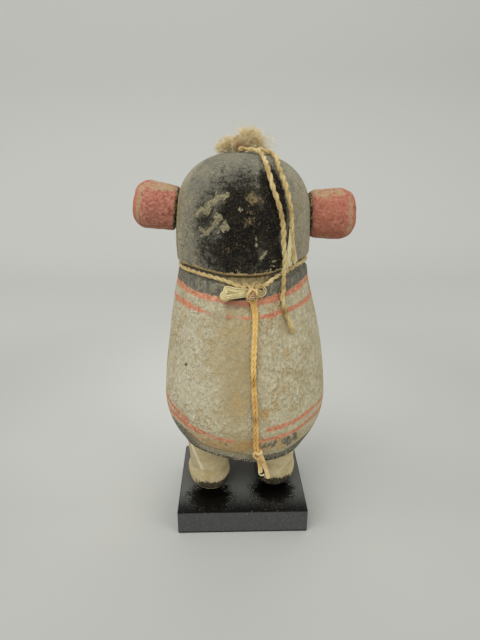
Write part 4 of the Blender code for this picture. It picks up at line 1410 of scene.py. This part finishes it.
down, tree, shader, place = new_material("golden down", 0.95, 0.15, 0.4)
locks = noise_at(tree, place, 2.2, 4.0)
tint = shades(tree, locks, (0.32, "C6AA6E"), (0.5, "E0CB94"), (0.66, "F4E8C6"))
distance = {"operation": "DISTANCE"}
to_root = add_node(tree, "ShaderNodeVectorMath", distance, _0=place, _1=tuple(ROOT))
at_root = soft_edge(tree, to_root.outputs["Value"], 2.8 * MM, 1.2 * MM)
tint = lay_over(tree, tint, "BF7A3C", at_root, 0.8)
tree.links.new(tint, shader.inputs["Base Color"])
chance = random.Random(77)
barbs = []
for centre, half, barb_count, thickness, curliness in TUFT_LOBES:
    middle = Vector(centre) * MM + Vector((0.3 * MM, 0, CROWN + SOLE))
    for _ in range(barb_count):
        way = Vector([chance.gauss(0, 1) for _ in range(3)]).normalized()
        reach = chance.uniform(0.1, 0.9) ** 0.5
        start = middle + Vector([way[k] * half[k] * MM * reach for k in range(3)])
        heading = (way * 0.5 + Vector([chance.gauss(0, 0.6) for _ in range(3)])).normalized()
        bend = Vector([chance.gauss(0, 0.35) for _ in range(3)]) * curliness
        points = []
        for i in range(BARB_POINTS):
            points.append(start.copy())
            start += heading * BARB_STEP * chance.uniform(0.7, 1.2)
            heading = (heading + bend * 0.45).normalized()
        if min(p.z for p in points) < CROWN + SOLE - 1.5 * MM:
            continue
        thick = chance.uniform(0.5, 1.3) * thickness * MM
        barbs.append((points, [thick * (1 - 0.6 * i / 6) for i in range(BARB_POINTS)]))
tuft = add_piece("crown_tuft_barbs", threads_mesh("crown_tuft_barbs", barbs, 0), down)
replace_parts(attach(tuft, "root"), "crown_tuft")


# The plinth. A block of wood in black satin lacquer with dust on its top. Its top
# carries a painted sheen of the bright room, near black along the front strip and
# in the moccasins' painted shadows; its upright faces have their own grey for the
# light they catch; a painted contact shadow runs along its foot, and a dark line
# under its top edge.
FOOT_SHADOWS = [((-12.3, -13.0), 9.5), ((12.5, -9.5), 9.5)]
lacquer, tree, shader, place = new_material("black satin lacquer", 0.3, 0.115)
parts = add_node(tree, "ShaderNodeSeparateXYZ", Vector=place).outputs
rise = parts["Z"]
fine = noise_at(tree, place, 0.6, 3.0, 0.6)
medium = noise_at(tree, place, 3.0, 3.0)
dusty = 1.0
# Near-black painted shadows of the moccasins on the top, just in front of the feet; dust and
# light lie only outside them
for (x, y), reach in FOOT_SHADOWS:
    spot = (x * MM, y * MM, PLINTH_TOP * MM)
    away = add_node(tree, "ShaderNodeVectorMath", {"operation": "DISTANCE"}, _0=place, _1=spot)
    away = times(tree, away.outputs["Value"], 1000 / reach)
    clear = soft_edge(tree, away, 0.7, 1.1, (fine, 1.3), (medium, 0.5))
    dusty = times(tree, dusty, clear)
# A painted sheen of the bright room over the dust on the top, a little lighter towards the sides
# and near black along the front strip
aside = add_node(tree, "ShaderNodeMath", {"operation": "ABSOLUTE"}, _0=parts["X"]).outputs[0]
sides = soft_edge(tree, aside, 8 * MM, 23 * MM)
sheen_away_from_front = soft_edge(tree, parts["Y"], -22 * MM, -8 * MM, (fine, 8 * MM))
dust_and_sheen = lay_over(tree, "5D5D5A", "61615E", sides)
dust_and_sheen = lay_over(tree, "121211", dust_and_sheen, sheen_away_from_front)
# Near black in the feet's painted shadows, the painted sheen and dust elsewhere
top = lay_over(tree, "030303", dust_and_sheen, dusty)
# The upright faces take their own grey, painted for the light they catch
side = shades(tree, fine, (0.34, "444442"), (0.66, "525250"))
block = lay_over(tree, top, side, soft_edge(tree, rise, 9.8 * MM, 9.5 * MM))
# A painted contact shadow along the block's foot, and a dark line just under its top edge
foot_contact_shadow = soft_edge(tree, rise, 1.0 * MM, 0.7 * MM)
top_edge = soft_edge(tree, rise, 9.3 * MM, 9.55 * MM)
either = {"operation": "MAXIMUM"}
foot_shadow_and_top_line = add_node(tree, "ShaderNodeMath", either, _0=foot_contact_shadow, _1=top_edge).outputs[0]
foot_shadow_and_top_line = times(tree, foot_shadow_and_top_line, soft_edge(tree, rise, 9.98 * MM, 9.9 * MM))
block = lay_over(tree, block, "0E0E0D", foot_shadow_and_top_line, 0.85)
dust = times(tree, dusty, soft_edge(tree, fine, 0.62, 0.72))
block = lay_over(tree, block, "6B6A64", dust, 0.55)
surface(tree, shader, block, fine, 0.5, 0.12 * MM)
plinth = frame["nodes"]["plinth"]
plinth.data.materials.clear()
plinth.data.materials.append(lacquer)


# The studio. A pale sweep of paper, its colour painted lighter towards the back and
# in a pool of light round the doll, with a large soft key light from the upper
# left, a fill from the right and one from behind.
PAINTED_LIGHT_MIDDLE = (-0.002, 0.07, 0.0)
PAPER_FRONT = -0.9
PAPER_BACK = 0.6
PAPER_TOP = 1.2
PAPER_BEND = 0.25
PAPER_HALF = 1.2
paper, tree, shader, place = new_material("pale paper", 0.9, 0.2)
# The paper's colour shades with depth as painted light and shade: darkest just round the plinth
# and lightest at the back
reach = add_node(tree, "ShaderNodeSeparateXYZ", Vector=place).outputs["Y"]
reach = plus(tree, 0.25, reach, 1 / 0.6)
paper_and_painted_light = shades(
    tree,
    reach,
    (0.0, "AEAEA8"),
    (0.16, "AFAFA9"),
    (0.24, "ABABA5"),
    (0.31, "B2B2AC"),
    (0.42, "B4B4AE"),
    (0.6, "BDBDB7"),
    (1.0, "C1C1BB"),
)
# A painted pool of light on the paper round the doll
behind = add_node(tree, "ShaderNodeVectorMath", {"operation": "DISTANCE"}, _0=place, _1=PAINTED_LIGHT_MIDDLE)
painted_light_pool = soft_edge(tree, behind.outputs["Value"], 0.18, 0.01)
paper_and_painted_light = lay_over(tree, paper_and_painted_light, "E4E4DE", painted_light_pool, 0.42)
tree.links.new(paper_and_painted_light, shader.inputs["Base Color"])
bm = bmesh.new()
sweep = [(PAPER_FRONT, 0.0)]
for a in np.linspace(0, math.pi / 2, 17):
    back = PAPER_BACK - PAPER_BEND + PAPER_BEND * math.sin(a)
    sweep.append((back, PAPER_BEND - PAPER_BEND * math.cos(a)))
sweep.append((PAPER_BACK, PAPER_TOP))
spine = [bm.verts.new((-PAPER_HALF, y, z)) for y, z in sweep]
edges = [bm.edges.new(pair) for pair in zip(spine, spine[1:])]
moved = bmesh.ops.extrude_edge_only(bm, edges=edges)["geom"]
far_side = [g for g in moved if isinstance(g, bmesh.types.BMVert)]
bmesh.ops.translate(bm, verts=far_side, vec=(2 * PAPER_HALF, 0, 0))
sweep_mesh = finished_mesh(bm, "paper_sweep")
sweep_mesh.shade_smooth()
add_piece("paper_sweep", sweep_mesh, paper)


LIT_MIDDLE = Vector((0, 0, 0.07))
ROOM_LIGHT = 0.735


def soft_light(name, place, size, power):
    """A white soft box that points at the doll."""
    light = bpy.data.lights.new(name, "AREA")
    light.shape = "SQUARE"
    light.size = size
    light.energy = power
    lamp = add_object(name, light)
    aim = LIT_MIDDLE - Vector(place)
    turned_lamp = aim.to_track_quat("-Z", "Y").to_matrix().to_4x4()
    lamp.matrix_world = Matrix.Translation(place) @ turned_lamp


soft_light("key_light", (-0.45, -0.4, 0.7), 0.85, 5.15)
soft_light("fill_light", (0.6, -0.45, 0.45), 0.6, 2.2)
soft_light("back_light", (0.1, 0.5, 0.9), 0.6, 2.0)
world = bpy.data.worlds.new("room")
world.use_nodes = True
background = world.node_tree.nodes["Background"]
background.inputs["Color"].default_value = colour("E4E6E8")
background.inputs["Strength"].default_value = ROOM_LIGHT
bpy.context.scene.world = world
bpy.context.scene.view_settings.view_transform = "Standard"
